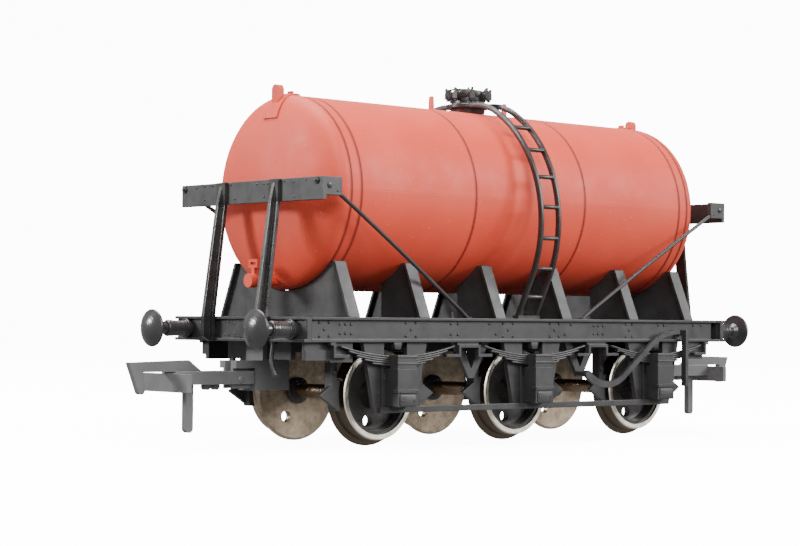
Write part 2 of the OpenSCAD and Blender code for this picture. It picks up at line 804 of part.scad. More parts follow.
module v_hangers() {
    low_z = axle_z + 2;
    color(plastic) for (back = [false, true], side = [-1, 1]) turned(back)
        across(-hanger_y, 0.6)
            difference() {
                translate([side * hanger_x, 0])
                    polygon([[-3.4, sole_z], [3.4, sole_z], [0.5, low_z], [-0.5, low_z]]);
                translate([side * hanger_x, 0])
                    polygon([[-2.4, sole_z + over], [2.4, sole_z + over], [0, low_z + 1.3]]);
            }
}

// One brake shoe: a curved block, a thin pointed plate on its outer side and a hanger
module brake_shoe(x, side) {
    in_y = wheel_back + flange_w + 0.35;
    shoe_w = 1.5;
    plate_t = 0.6;
    block_t = 0.8;
    half_h = 2.1;
    bore_r = tread_r + shoe_gap;
    far_x = bore_r + 3.35;
    across(-in_y - shoe_w, shoe_w) {
        difference() {
            translate([x, axle_z]) circle(r = bore_r + block_t);
            translate([x, axle_z]) circle(r = bore_r);
            translate([x - side * 10 - 10, axle_z - 10]) square([20, 20]);
            translate([x - 10, axle_z + half_h]) square([20, 10]);
            translate([x - 10, axle_z - half_h - 10]) square([20, 10]);
        }
        polygon([[x + side * 7.2, axle_z], [x + side * 7.2, sole_top - floor_t],
                 [x + side * 8.1, sole_top - floor_t], [x + side * 8.1, axle_z]]);
    }
    across(-in_y - shoe_w, plate_t) difference() {
        polygon([[x + side * 5, axle_z + half_h], [x + side * 7.1, axle_z + half_h - 0.15],
                 [x + side * far_x, axle_z],
                 [x + side * 7.1, axle_z - half_h + 0.15], [x + side * 5, axle_z - half_h]]);
        translate([x, axle_z]) circle(r = bore_r);
    }
}

module brake_shoes() {
    color(plastic) for (back = [false, true]) turned(back)
        for (x = axle_xs, side = [-1, 1]) brake_shoe(x, side);
}

// The hand lever's middle line: a sagging arc at its free end, a straight rise,
// and an arc that levels out in the guard
lever_dip = [axle_spacing - 11.8, axle_z + 0.85];
lever_dip_r = 6.3;
lever_slope = 37;
lever_rise = 7;
lever_crest_r = 10.7;
lever_crest_start = lever_dip + lever_dip_r * [sin(lever_slope), 1 - cos(lever_slope)]
    + lever_rise * [cos(lever_slope), sin(lever_slope)];
lever_line = concat(
    [for (a = [-41 : 6 : lever_slope]) lever_dip + lever_dip_r * [sin(a), 1 - cos(a)]],
    [for (a = [lever_slope : -5.5 : -3])
        lever_crest_start + lever_crest_r * [sin(lever_slope) - sin(a), cos(a) - cos(lever_slope)]]);

// Direction square to the lever's line at its point k
function lever_square(k) =
    let (last = len(lever_line) - 1,
         d = lever_line[min(k + 1, last)] - lever_line[max(k - 1, 0)])
    [-d[1], d[0]] / norm(d);

module brake_lever() {
    last = len(lever_line) - 1;
    half = 0.55;
    taper = 0.25;
    y = -spring_face_y - 0.75;
    pin_in = 0.35;
    pin_r = 0.4;
    widths = [for (k = [0 : last]) half - taper * k / last];
    color(plastic) {
        across(y, lever_t) {
            polygon(concat(
                [for (k = [0 : last]) lever_line[k] + lever_square(k) * widths[k]],
                [for (k = [last : -1 : 0]) lever_line[k] - lever_square(k) * widths[k]]));
            translate(lever_line[0]) circle(r = half, $fn = 24);
        }
        // pin that carries the lever's free end on the V hanger
        translate([lever_line[0][0] + pin_in, y, lever_line[0][1]]) rotate([-90, 0, 0])
            cylinder(r = pin_r, h = -y - hanger_y - seat_gap, $fn = 24);
    }
}

module lever_guard() {
    x = axle_spacing + 5.3;
    low_z = axle_z + 0.35;
    top_z = sole_z + 1.8;
    guard_y = spring_face_y + 0.15;
    color(plastic) {
        translate([x, -guard_y - 0.9, low_z]) cube([0.6, 0.9, top_z - low_z]);
        translate([x, -guard_y, top_z - 0.9]) cube([0.6, guard_y - web_face_y, 0.9]);
    }
}

// Couplings

module coupling_mount() {
    mount_len = 5.75;
    stub_in = 1.2;
    low_z = axle_z + 0.45;
    color(plastic) {
        translate([-pocket_x, -pocket_half, low_z]) cube([mount_len, 2 * pocket_half, 4]);
        translate([-pocket_x + stub_in, -pocket_half, low_z + 3.9])
            cube([mount_len - stub_in, 2 * pocket_half, sole_top - floor_t - low_z - 3.9]);
        for (side = [-1, 1]) {
            translate([-pocket_x - prong_len, side > 0 ? cheek_in : -cheek_in - prong_w, low_z + 3])
                cube([prong_len + 0.1, prong_w, 1]);
            difference() {
                translate([-pocket_x - prong_len, side > 0 ? cheek_in : -cheek_in - cheek_t, low_z + 0.3])
                    cube([prong_len + 0.1, cheek_t, 2.8]);
                translate([-pivot[0], -half_w, pivot[1]]) rotate([-90, 0, 0])
                    cylinder(r = pin_r + seat_gap, h = frame_w, $fn = 32);
            }
        }
        translate([-pivot[0], -cheek_in - cheek_t, pivot[1]]) rotate([-90, 0, 0])
            cylinder(r = pin_r, h = 2 * (cheek_in + cheek_t), $fn = 32);
    }
}

// The bumper bar, held from its middle by a fork whose two arms pass the hook on both sides
module bumper() {
    arm_y = cheek_in + cheek_t + seat_gap;
    arm_t = 0.55;
    arm_low_z = hook_z - 0.6;
    arm_h = 1.75;
    low_z = hook_z - 1.5;
    color(plastic) {
        translate([-bumper_x, -bumper_half, low_z]) cube([bumper_t, 2 * bumper_half, bumper_h]);
        for (side = [-1, 1])
            translate([-bumper_x + bumper_t - 0.1, side > 0 ? arm_y : -arm_y - arm_t, arm_low_z])
                cube([bumper_x - bumper_t + 0.1 - pocket_x - seat_gap, arm_t, arm_h]);
    }
}

module hook() {
    z = hook_z;
    t = tip_x;
    color(plastic) difference() {
        across(-hook_t / 2, hook_t) difference() {
            union() {
                translate([-pivot[0], z]) circle(r = eye_r);
                translate([-t + 1.95, z - 1.25]) circle(r = 0.5, $fn = 32);
                polygon([[-t, z + 2.35], [-t + 1.48, z - 1.43], [-t + 2.45, z - 1.2], [-t + 2.2, z + 1.1],
                         [-t + 8.4, z + 1.1], [-t + 8.4, z - 0.6], [-pivot[0], z - 0.6],
                         [-pivot[0], z + 0.95], [-t + 11.4, z + 1.15], [-t + 9.4, z + 2.6]]);
                translate([-t + 8.9, z - 6.25]) square([1.2, 6.6]);
                translate([-t + 9.5, z - 6.25]) circle(r = 0.6, $fn = 32);
                for (x = [-t + 12.4, -t + 13.9])
                    translate([x, z - 0.85]) circle(r = 0.5, $fn = 24);
            }
            translate([-pivot[0], z]) circle(r = pin_r + run_gap, $fn = 32);
        }
    }
}

// Wheels and axles

module axle(x) {
    tip = axle_len / 2;
    shoulder = bearing_in_y - 0.35;
    color(nickel) translate([x, 0, axle_z])
        turned_across([
            [0, -tip], [journal_r, -tip + journal_r], [journal_r, -shoulder], [axle_r, -shoulder + 0.4],
            [axle_r, shoulder - 0.4], [journal_r, shoulder], [journal_r, tip - journal_r], [0, tip]]);
}

// The metal tyre: flange at the back, tread with a little coning
function tyre_outer(bore) = [
    [bore, wheel_back], [wheel_r - 0.35, wheel_back],
    [wheel_r, wheel_back + 0.3], [wheel_r, wheel_back + 0.5],
    [tread_r + 0.05, wheel_back + flange_w],
    [tread_r - 0.1, wheel_face - 0.15], [tread_r - 0.25, wheel_face], [bore, wheel_face]];

module tyre(x) {
    color(steel) translate([x, 0, axle_z]) mirror([0, 1, 0]) turned_across(tyre_outer(rim_r));
}

module wheel_centre(x) {
    rim = rim_r - seat_gap;
    color(plastic) translate([x, 0, axle_z]) mirror([0, 1, 0]) difference() {
        turned_across([
            [axle_r + seat_gap, wheel_back - 1.2], [hub_r, wheel_back - 1.2], [hub_r, wheel_back + 0.1],
            [rim, wheel_back + 0.1], [rim, wheel_face - 0.3], [rim - 0.45, wheel_face - 0.3],
            [rim - 0.7, wheel_back + 1.1], [hub_r, wheel_back + 1.1], [hub_r - 0.3, wheel_face - 0.5],
            [axle_r + seat_gap, wheel_face - 0.5]]);
        translate([plastic_hole_x, 0, -hole_at]) rotate([-90, 0, 0]) cylinder(r = hole_r, h = 20, $fn = 32);
    }
}

module metal_wheel(x) {
    color(nickel) translate([x, 0, axle_z]) difference() {
        turned_across(concat(
            [[axle_r + seat_gap, wheel_back]], [for (k = [1 : 6]) tyre_outer(rim_r)[k]],
            [[rim_r, wheel_face], [rim_r - 0.2, wheel_back + 1], [hub_r, wheel_back + 1],
             [hub_r - 0.2, wheel_face - 0.4], [axle_r + seat_gap, wheel_face - 0.4]]));
        translate([metal_hole_x, 0, -hole_at]) rotate([-90, 0, 0]) cylinder(r = hole_r, h = 20, $fn = 32);
    }
}

tank_half(true);  // tank_upper
tank_half(false);  // tank_lower
manway_neck();
manway_lid();
lifting_lugs();
end_fittings();
ladder();
saddles();
end_beam();  // end_beam_front
turned(true) end_beam();  // end_beam_rear
end_posts();  // end_posts_front
turned(true) end_posts();  // end_posts_rear
tie_rods();
underfloor();  // floor
inner_frames();
solebar();  // solebar_left
turned(true) solebar();  // solebar_right
headstock();  // headstock_front
turned(true) headstock();  // headstock_rear
buffer_housings();  // buffer_housings_front
turned(true) buffer_housings();  // buffer_housings_rear
buffer_heads();  // buffer_heads_front
turned(true) buffer_heads();  // buffer_heads_rear
axleguards();  // axleguards_left
turned(true) axleguards();  // axleguards_right
springs();  // springs_left
turned(true) springs();  // springs_right
shackles();  // shackles_left
turned(true) shackles();  // shackles_right
axleboxes();  // axleboxes_left
turned(true) axleboxes();  // axleboxes_right
tie_bar();  // tie_bar_left
turned(true) tie_bar();  // tie_bar_right
v_hangers();
brake_shoes();
brake_lever();  // brake_lever_left
turned(true) brake_lever();  // brake_lever_right
lever_guard();  // lever_guard_left
turned(true) lever_guard();  // lever_guard_right
coupling_mount();  // coupling_mount_front
turned(true) coupling_mount();  // coupling_mount_rear
bumper();  // bumper_front
turned(true) bumper();  // bumper_rear
hook();  // hook_front
turned(true) hook();  // hook_rear
axle(axle_xs[0]);  // axle_1
tyre(axle_xs[0]);  // tyre_1
wheel_centre(axle_xs[0]);  // wheel_centre_1
metal_wheel(axle_xs[0]);  // metal_wheel_1
axle(axle_xs[1]);  // axle_2
tyre(axle_xs[1]);  // tyre_2
wheel_centre(axle_xs[1]);  // wheel_centre_2
metal_wheel(axle_xs[1]);  // metal_wheel_2
axle(axle_xs[2]);  // axle_3
tyre(axle_xs[2]);  // tyre_3
wheel_centre(axle_xs[2]);  // wheel_centre_3
metal_wheel(axle_xs[2]);  // metal_wheel_3
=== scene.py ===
"""Looks of a six-wheel milk tank wagon, a 4 mm to the foot model on 16.5 mm gauge wheels.

Each sub-assembly is a class that holds its sizes in millimetres, makes its meshes and
dresses them. +X runs towards the rear end, +Y to the right side, +Z up.
"""
import logging
import math
from collections.abc import Sequence
from dataclasses import dataclass
from enum import Enum
from functools import cache
from typing import Protocol

import bmesh
import bpy
from mathutils import Matrix, Vector


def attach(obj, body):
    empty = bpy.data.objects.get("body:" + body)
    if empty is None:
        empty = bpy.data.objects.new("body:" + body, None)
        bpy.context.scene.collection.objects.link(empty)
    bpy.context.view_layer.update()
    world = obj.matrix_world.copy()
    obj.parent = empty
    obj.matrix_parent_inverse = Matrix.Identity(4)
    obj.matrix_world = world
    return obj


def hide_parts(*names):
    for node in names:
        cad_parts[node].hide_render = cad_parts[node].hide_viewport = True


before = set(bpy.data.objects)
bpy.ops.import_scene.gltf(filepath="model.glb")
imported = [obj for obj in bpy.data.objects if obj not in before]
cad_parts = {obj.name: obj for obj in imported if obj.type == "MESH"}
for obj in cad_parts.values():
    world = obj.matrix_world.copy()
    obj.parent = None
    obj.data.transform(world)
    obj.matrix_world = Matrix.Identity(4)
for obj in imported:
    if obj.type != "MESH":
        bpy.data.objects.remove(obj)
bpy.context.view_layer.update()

log = logging.getLogger("tank_wagon")

MM = 0.001
Point = tuple[float, float, float]
Flat = tuple[float, float]
Outline = tuple[Flat, ...]
Colour = tuple[float, float, float]
Socket = bpy.types.NodeSocket

AXLE_Z = 7.0
AXLE_XS = (-26.0, 0.0, 26.0)
SOLE_Z = 14.0
SOLE_TOP = 17.3
HALF_W = 14.0
WEB_Y = 13.5
TANK_Z = 34.1
SEAMS_X = (11.0, 32.0, 33.75)
WHEEL_BACK = 7.25
WHEEL_FACE = 10.15
UP: Point = (0, 0, 1)
ACROSS: Point = (0, 1, 0)
ALONG: Point = (1, 0, 0)
FORWARD: Point = (-1, 0, 0)
LEFTWARD: Point = (0, -1, 0)
BOTH = (-1, 1)
WELD_GAP = 0.0005
SHARP_ANGLE = 34.0


class Half(Enum):
    """One of two like halves of the wagon. The second is the first one turned round."""

    def turn(self) -> Matrix:
        """The turn about the upright axis that brings a piece drawn in the first half here."""
        first = next(iter(type(self)))
        return Matrix.Rotation(0.0 if self is first else math.pi, 4, "Z")


class End(Half):
    """The two ends of the wagon."""

    FRONT = "front"
    REAR = "rear"


class Side(Half):
    """The two sides of the wagon."""

    LEFT = "left"
    RIGHT = "right"


# Finishes


class Nodes:
    """A material's node tree, with short calls for the nodes that the finishes share."""

    def __init__(self, name: str) -> None:
        """Starts a material of that name with one Principled shader.

        Args:
            name: the material's name.
        """
        self.material = bpy.data.materials.new(name)
        self.material.use_nodes = True
        self.tree = self.material.node_tree
        self.shader = self.tree.nodes["Principled BSDF"]
        self.place = self.tree.nodes.new("ShaderNodeTexCoord").outputs["Object"]

    def link(self, source: Socket, target: Socket) -> None:
        """Joins two sockets."""
        self.tree.links.new(source, target)

    def noise(self, size: float, detail: float, stretch: Point = (1, 1, 1),
              rough: float = 0.5) -> Socket:
        """A noise pattern.

        Args:
            size: how large its features are, in millimetres.
            detail: how many finer layers it has.
            stretch: how much finer it is along each axis.
            rough: how strong the finer layers are.

        Returns:
            The pattern's value, from 0 to 1.
        """
        moved = self.tree.nodes.new("ShaderNodeMapping")
        moved.inputs["Scale"].default_value = tuple(s / (size * MM) for s in stretch)
        self.link(self.place, moved.inputs["Vector"])
        node = self.tree.nodes.new("ShaderNodeTexNoise")
        node.inputs["Scale"].default_value = 1.0
        node.inputs["Detail"].default_value = detail
        node.inputs["Roughness"].default_value = rough
        self.link(moved.outputs["Vector"], node.inputs["Vector"])
        return node.outputs["Fac"]

    def fit(self, value: Socket, low: float, high: float, to_low: float,
            to_high: float) -> Socket:
        """A value moved from one range to another, and held inside it.

        Args:
            value: the socket to read.
            low: the value that becomes to_low.
            high: the value that becomes to_high.
            to_low: the new range's start.
            to_high: the new range's end.

        Returns:
            The new value.
        """
        node = self.tree.nodes.new("ShaderNodeMapRange")
        for key, number in zip(("From Min", "From Max", "To Min", "To Max"),
                               (low, high, to_low, to_high)):
            node.inputs[key].default_value = number
        self.link(value, node.inputs["Value"])
        return node.outputs["Result"]

    def mix(self, share: Socket, first: "Colour | Socket",
            second: Colour) -> Socket:
        """Two colours mixed.

        Args:
            share: how much of the second colour shows.
            first: the first colour, or a socket that gives it.
            second: the second colour.

        Returns:
            The mixed colour.
        """
        node = self.tree.nodes.new("ShaderNodeMix")
        node.data_type = "RGBA"
        self.link(share, node.inputs["Factor"])
        if isinstance(first, Socket):
            self.link(first, node.inputs[6])
        else:
            node.inputs[6].default_value = (*first, 1.0)
        node.inputs[7].default_value = (*second, 1.0)
        return node.outputs[2]

    def calc(self, how: str, *values: "Socket | float") -> Socket:
        """A sum worked out on one value or two.

        Args:
            how: the operation's name.
            values: what it works on, sockets or plain numbers.

        Returns:
            The result.
        """
        node = self.tree.nodes.new("ShaderNodeMath")
        node.operation = how
        for held, value in zip(node.inputs, values):
            if isinstance(value, Socket):
                self.link(value, held)
            else:
                held.default_value = value
        return node.outputs[0]

    def away(self, axis: str, at: float, mirrored: bool = False) -> Socket:
        """How far a point of the surface is from a plane square to an axis.

        Args:
            axis: the axis, X, Y or Z.
            at: the plane's place on it, in millimetres.
            mirrored: whether the plane's twin on the other side of the origin counts too.

        Returns:
            The distance, in metres.
        """
        split = self.tree.nodes.new("ShaderNodeSeparateXYZ")
        self.link(self.place, split.inputs["Vector"])
        value = split.outputs[axis]
        if mirrored:
            value = self.calc("ABSOLUTE", value)
        return self.calc("ABSOLUTE", self.calc("SUBTRACT", value, at * MM))

    def roughness(self, size: float, detail: float, span: Flat, rough: Flat) -> None:
        """Lets the roughness wander between two values.

        Args:
            size: how large its patches are, in millimetres.
            detail: how many finer layers they have.
            span: the part of the pattern's values that is used.
            rough: the roughness at the two ends of it.
        """
        value = self.fit(self.noise(size, detail), *span, *rough)
        self.link(value, self.shader.inputs["Roughness"])

    def bump(self, height: Socket, depth: float, strength: float) -> None:
        """Raises the surface by a pattern.

        Args:
            height: the pattern's value.
            depth: how high it stands, in millimetres.
            strength: how much of it shows.
        """
        node = self.tree.nodes.new("ShaderNodeBump")
        node.inputs["Distance"].default_value = depth * MM
        node.inputs["Strength"].default_value = strength
        self.link(height, node.inputs["Height"])
        self.link(node.outputs["Normal"], self.shader.inputs["Normal"])

    def set(self, **values: float) -> None:
        """Sets plain numbers on the shader's own sockets, by names with _ for a space."""
        for key, number in values.items():
            self.shader.inputs[key.replace("_", " ")].default_value = number


@dataclass(frozen=True)
class Paint:
    """Matt enamel on the tank: faintly clouded, with a fine spray grain and painted shade darkening
    its seam grooves.
    """

    name: str
    colour: Colour
    faded: Colour
    dust: Colour
    seam_shade: Colour
    rough: float = 0.56
    cloud_size: float = 9.0
    dust_size: float = 0.34
    dust_share: float = 0.35
    grain: float = 0.16
    depth: float = 0.02
    joint_half: Flat = (0.02, 0.09)
    joint_depth: float = -1.2
    # Width and strength of the painted shade at the seam grooves.
    seam_half: Flat = (0.08, 0.42)
    seam_share: float = 0.8

    def make(self) -> bpy.types.Material:
        """Builds the material.

        Returns:
            The new material.
        """
        nodes = Nodes(self.name)
        cloud = nodes.fit(nodes.noise(self.cloud_size, 2.0), 0.35, 0.7, 0.0, 1.0)
        base = nodes.mix(cloud, self.colour, self.faded)
        specks = nodes.fit(nodes.noise(self.dust_size, 1.0), 0.72, 0.8, 0.0, self.dust_share)
        base = nodes.mix(specks, base, self.dust)
        core, rim = self.seam_half
        # Painted shade: the paint is darkened towards each seam groove, where shade falls.
        for seam_x in SEAMS_X:
            away = nodes.away("X", seam_x, True)
            inside = nodes.fit(away, core * MM, rim * MM, self.seam_share, 0.0)
            base = nodes.mix(inside, base, self.seam_shade)
        nodes.link(base, nodes.shader.inputs["Base Color"])
        nodes.roughness(3.0, 3.0, (0.3, 0.7), (self.rough - 0.06, self.rough + 0.07))
        core, rim = self.joint_half
        joint = nodes.fit(nodes.away("Z", TANK_Z), core * MM, rim * MM, self.joint_depth, 0.0)
        nodes.bump(nodes.calc("ADD", nodes.noise(self.grain, 2.0), joint), self.depth, 0.5)
        nodes.set(Specular_IOR_Level=0.36, Sheen_Weight=0.03)
        return nodes.material


@dataclass(frozen=True)
class Plastic:
    """Moulded plastic: a satin skin with soft flow marks, fine grain and lighter handling marks; on
    the posts these lighter marks are painted glints.
    """

    name: str
    colour: Colour
    wear_and_glint: Colour
    rough: float = 0.42
    grain: float = 0.12
    depth: float = 0.012
    scuffs_and_glints: float = 0.35
    coat: float = 0.0
    flow_size: float = 4.0
    flow_share: float = 0.35
    scuff_and_glint_size: float = 0.55

    def make(self) -> bpy.types.Material:
        """Builds the material.

        Returns:
            The new material.
        """
        nodes = Nodes(self.name)
        flow = nodes.noise(self.flow_size, 3.0, (1, 1, 1.6))
        flow = nodes.fit(flow, 0.35, 0.7, 0.0, self.flow_share)
        # Lighter specks of handling wear; on the posts they are painted glints.
        scuff_and_glint = nodes.noise(self.scuff_and_glint_size, 4.0, (1, 1.4, 1), 0.7)
        scuff_and_glint = nodes.fit(scuff_and_glint, 0.6, 0.78, 0.0, self.scuffs_and_glints)
        base = nodes.mix(nodes.calc("MAXIMUM", flow, scuff_and_glint), self.colour, self.wear_and_glint)
        nodes.link(base, nodes.shader.inputs["Base Color"])
        nodes.roughness(1.6, 3.0, (0.3, 0.7), (self.rough - 0.07, self.rough + 0.09))
        nodes.bump(nodes.noise(self.grain, 2.0), self.depth, 0.6)
        nodes.set(Specular_IOR_Level=0.5, Coat_Weight=self.coat, Coat_Roughness=0.2)
        return nodes.material


@dataclass(frozen=True)
class Metal:
    """Plated metal: turned rings about the axle, stains and fine pits, with an oily tread."""

    name: str
    colour: Colour
    stain: Colour
    rough: float = 0.25
    rings: float = 0.16
    stains: float = 0.4
    pits: float = 0.012
    blot_size: float = 1.4
    speck_size: float = 0.28
    pit_size: float = 0.22
    tread: Colour | None = None
    face_half: Flat = (0.14, 0.22)

    def make(self) -> bpy.types.Material:
        """Builds the material.

        Returns:
            The new material.
        """
        nodes = Nodes(self.name)
        blot = nodes.fit(nodes.noise(self.blot_size, 4.0, rough=0.6), 0.4, 0.75, 0.0, self.stains)
        speck = nodes.fit(nodes.noise(self.speck_size, 2.0), 0.6, 0.72, 0.0, self.stains)
        base = nodes.mix(nodes.calc("MAXIMUM", blot, speck), self.colour, self.stain)
        if self.tread:
            core, rim = self.face_half
            beyond = nodes.fit(nodes.away("Y", WHEEL_FACE, True), core * MM, rim * MM, 0.0, 1.0)
            base = nodes.mix(beyond, base, self.tread)
        nodes.link(base, nodes.shader.inputs["Base Color"])
        nodes.roughness(0.5, 3.0, (0.3, 0.75), (self.rough - 0.06, self.rough + 0.14))
        turned = nodes.noise(self.rings, 1.0, (0.05, 1, 0.05))
        nodes.bump(nodes.calc("ADD", turned, nodes.noise(self.pit_size, 3.0)), self.pits, 0.6)
        nodes.set(Metallic=1.0)
        return nodes.material


# The last colour is painted shade for the seam grooves, a darker copy of the red.
TANK_RED = Paint("tank_red", (0.6, 0.05, 0.022), (0.64, 0.065, 0.03), dust=(0.75, 0.35, 0.28),
                 seam_shade=(0.19, 0.018, 0.012))
FRAME_BLACK = Plastic("frame_black", (0.023, 0.0222, 0.0224), (0.053, 0.051, 0.051), rough=0.4)
# Painted shade and glints on the posts: a darker copy of the frame black for the shade they sit in,
# with lighter specks that stand in for glints.
SHADED_POST_BLACK = Plastic("shaded_post_black", (0.01, 0.0095, 0.0095), (0.07, 0.064, 0.06), rough=0.3,
                     scuffs_and_glints=0.6)
FITTINGS_BLACK = Plastic("fittings_black", (0.018, 0.016, 0.0155), (0.055, 0.046, 0.042),
                         rough=0.36)
BUFFER_BLACK = Plastic("buffer_black", (0.027, 0.026, 0.027), (0.05, 0.049, 0.05), rough=0.26,
                       coat=0.3, scuffs_and_glints=0.2)
COUPLING_GREY = Plastic("coupling_grey", (0.115, 0.112, 0.113), (0.15, 0.146, 0.146), rough=0.4,
                        scuffs_and_glints=0.25)
WHEEL_BLACK = Plastic("wheel_black", (0.033, 0.03, 0.029), (0.062, 0.056, 0.053), rough=0.3,
                      scuffs_and_glints=0.25)
BRIGHT_NICKEL = Metal("bright_nickel", (1.0, 0.93, 0.79), (0.72, 0.62, 0.5), rough=0.37,
                      stains=0.15, tread=(0.15, 0.118, 0.085))
DULL_NICKEL = Metal("dull_nickel", (0.53, 0.43, 0.32), (0.18, 0.13, 0.085), rough=0.4, stains=0.75,
                    pits=0.04)
AXLE_BROWN = Metal("axle_brown", (0.3, 0.22, 0.16), (0.14, 0.1, 0.07), rough=0.3, stains=0.4,
                   pits=0.003)

Finish = Paint | Plastic | Metal
SLOT_FINISH: dict[str, Finish] = {
    "red_tank": TANK_RED, "black_plastic": FRAME_BLACK, "fittings_plastic": FITTINGS_BLACK,
    "buffer_plastic": BUFFER_BLACK, "coupling_plastic": COUPLING_GREY, "wheel_plastic": WHEEL_BLACK,
    "tyre_metal": BRIGHT_NICKEL, "wheel_metal": DULL_NICKEL, "axle_metal": AXLE_BROWN,
}


@cache
def material_of(finish: Finish) -> bpy.types.Material:
    """The material of a finish, made at the first call and kept.

    Args:
        finish: the finish.

    Returns:
        Its material.
    """
    return finish.make()


# Making pieces


def show(name: str, data: bpy.types.ID) -> bpy.types.Object:
    """Adds an object to the scene.

    Args:
        name: its name.
        data: its mesh, light or camera.

    Returns:
        The new object.
    """
    made = bpy.data.objects.new(name, data)
    bpy.context.scene.collection.objects.link(made)
    return made


class Shape:
    """A mesh under way, in millimetres."""

    def __init__(self) -> None:
        """Starts with an empty mesh."""
        self.mesh = bmesh.new()

    def loft(self, rings: Sequence[Sequence[Vector]], caps: bool = True) -> None:
        """Skins a row of outlines that have the same number of points.

        Args:
            rings: the outlines, in order.
            caps: whether the two ends are filled.
        """
        verts = [[self.mesh.verts.new(p) for p in ring] for ring in rings]
        count = len(verts[0])
        for low, high in zip(verts, verts[1:]):
            for i in range(count):
                j = (i + 1) % count
                self.mesh.faces.new((low[i], low[j], high[j], high[i]))
        if caps:
            self.mesh.faces.new(list(reversed(verts[0])))
            self.mesh.faces.new(verts[-1])

    def sweep(self, path: Sequence[Point], outline: Sequence[Flat], across: Point) -> None:
        """Carries an outline along a path.

        Args:
            path: the path's points.
            outline: the outline's points, each as its place along across and square to it.
            across: the direction that the outline's first number is measured in.
        """
        points = [Vector(p) for p in path]
        side = Vector(across).normalized()
        rings = []
        for k, point in enumerate(points):
            run = (points[min(k + 1, len(points) - 1)] - points[max(k - 1, 0)]).normalized()
            flat = (side - run * side.dot(run)).normalized()
            up = run.cross(flat)
            rings.append([point + flat * a + up * b for a, b in outline])
        self.loft(rings)

    def lathe(self, profile: Sequence[Flat], centre: Point, axis: Point, steps: int) -> None:
        """Turns a profile about an axis.

        Args:
            profile: radius and height of each point, from one end of the axis to the other.
            centre: the point where the height is nought.
            axis: the direction of the axis.
            steps: the number of facets round it.
        """
        turn = Vector(axis).to_track_quat("Z", "Y").to_matrix()
        middle = Vector(centre)
        angles = [2 * math.pi * i / steps for i in range(steps)]
        self.loft([[middle + turn @ Vector((r * math.cos(a), r * math.sin(a), h)) for a in angles]
                   for r, h in profile])

    def plate(self, outline: Sequence[Flat], place: Point, depths: Sequence[float]) -> None:
        """Adds a flat plate that faces the left side.

        Args:
            outline: the plate's outline, along the wagon and up.
            place: the outline's middle.
            depths: how far the plate's faces stand out from the middle, back face first.
        """
        x, y, z = place
        self.loft([[Vector((x + a, y - d, z + b)) for a, b in outline] for d in depths])

    def rivet(self, centre: Point, normal: Point, radius: float, height: float,
              steps: int = 12) -> None:
        """Adds a round-headed rivet.

        Args:
            centre: the middle of its foot.
            normal: the direction that it stands out in.
            radius: the radius of its foot.
            height: how far it stands out.
            steps: the number of facets round it.
        """
        angles = [math.radians(a) for a in (0.0, 22.0, 45.0, 68.0, 88.0)]
        head = [(radius * math.cos(a), height * math.sin(a)) for a in angles]
        self.lathe([(radius, -0.05), *head], centre, normal, steps)

    def nut(self, centre: Point, normal: Point, radius: float, height: float) -> None:
        """Adds a six-sided nut with a round bolt end standing out of it.

        Args:
            centre: the middle of its foot.
            normal: the direction that it stands out in.
            radius: the radius over its corners.
            height: how far the nut stands out.
        """
        self.lathe([(radius, -0.05), (radius, height * 0.8), (radius * 0.86, height)],
                   centre, normal, 6)
        self.lathe([(radius * 0.5, height * 0.7), (radius * 0.5, height * 1.5),
                    (radius * 0.36, height * 1.7)], centre, normal, 12)

    def finish(self, name: str, slot: str, body: str = "wagon", turn: Matrix | None = None,
               bevel: float = 0.0, smooth: float = 40.0) -> bpy.types.Object:
        """Makes the object, dresses it and lets it ride on its body.

        Args:
            name: the piece's name.
            slot: the record's material slot that it takes its finish from.
            body: the body that it rides on.
            turn: a turn that brings it to its place.
            bevel: the width of its rounded edges, in millimetres, or nought.
            smooth: the angle below which its faces are shaded as one, in degrees.

        Returns:
            The new object.
        """
        bmesh.ops.recalc_face_normals(self.mesh, faces=self.mesh.faces)
        if bevel:
            edges = [e for e in self.mesh.edges if len(e.link_faces) == 2
                     and e.calc_face_angle(0.0) > math.radians(smooth)]
            bmesh.ops.bevel(self.mesh, geom=edges, offset=bevel, segments=2, profile=0.6,
                            affect="EDGES")
        place = (turn or Matrix()) @ Matrix.Scale(MM, 4)
        bmesh.ops.transform(self.mesh, matrix=place, verts=self.mesh.verts)
        piece = self.show(name, material_of(SLOT_FINISH[slot]))
        piece.data.set_sharp_from_angle(angle=math.radians(smooth))
        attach(piece, body)
        log.info("made %s: %d faces", name, len(piece.data.polygons))
        return piece

    def show(self, name: str, material: bpy.types.Material) -> bpy.types.Object:
        """Turns the mesh into a smoothly shaded object of the scene.

        Args:
            name: the object's name.
            material: its material.

        Returns:
            The new object.
        """
        data = bpy.data.meshes.new(name)
        self.mesh.to_mesh(data)
        self.mesh.free()
        data.shade_smooth()
        data.materials.append(material)
        return show(name, data)


def dress(node: str, width: float = 0.0, finish: Finish | None = None) -> None:
    """Gives a CAD node a finish, and rounds its sharp edges so that they catch the light.

    Args:
        node: the node's name.
        width: the width of the rounded edges, in millimetres, or nought.
        finish: the finish, or none for the one of the node's slot.
    """
    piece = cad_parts[node]
    slot = piece.material_slots[0].material.name.split(".")[0]
    chosen = finish or SLOT_FINISH[slot]
    for held in piece.material_slots:
        held.material = material_of(chosen)
    if width:
        weld = piece.modifiers.new("joined corners", "WELD")
        weld.merge_threshold = WELD_GAP * MM
        bevel = piece.modifiers.new("rounded edges", "BEVEL")
        bevel.width = width * MM
        bevel.segments = 2
        bevel.limit_method = "ANGLE"
        bevel.angle_limit = math.radians(SHARP_ANGLE)
    log.info("dressed %s with %s", node, chosen.name)


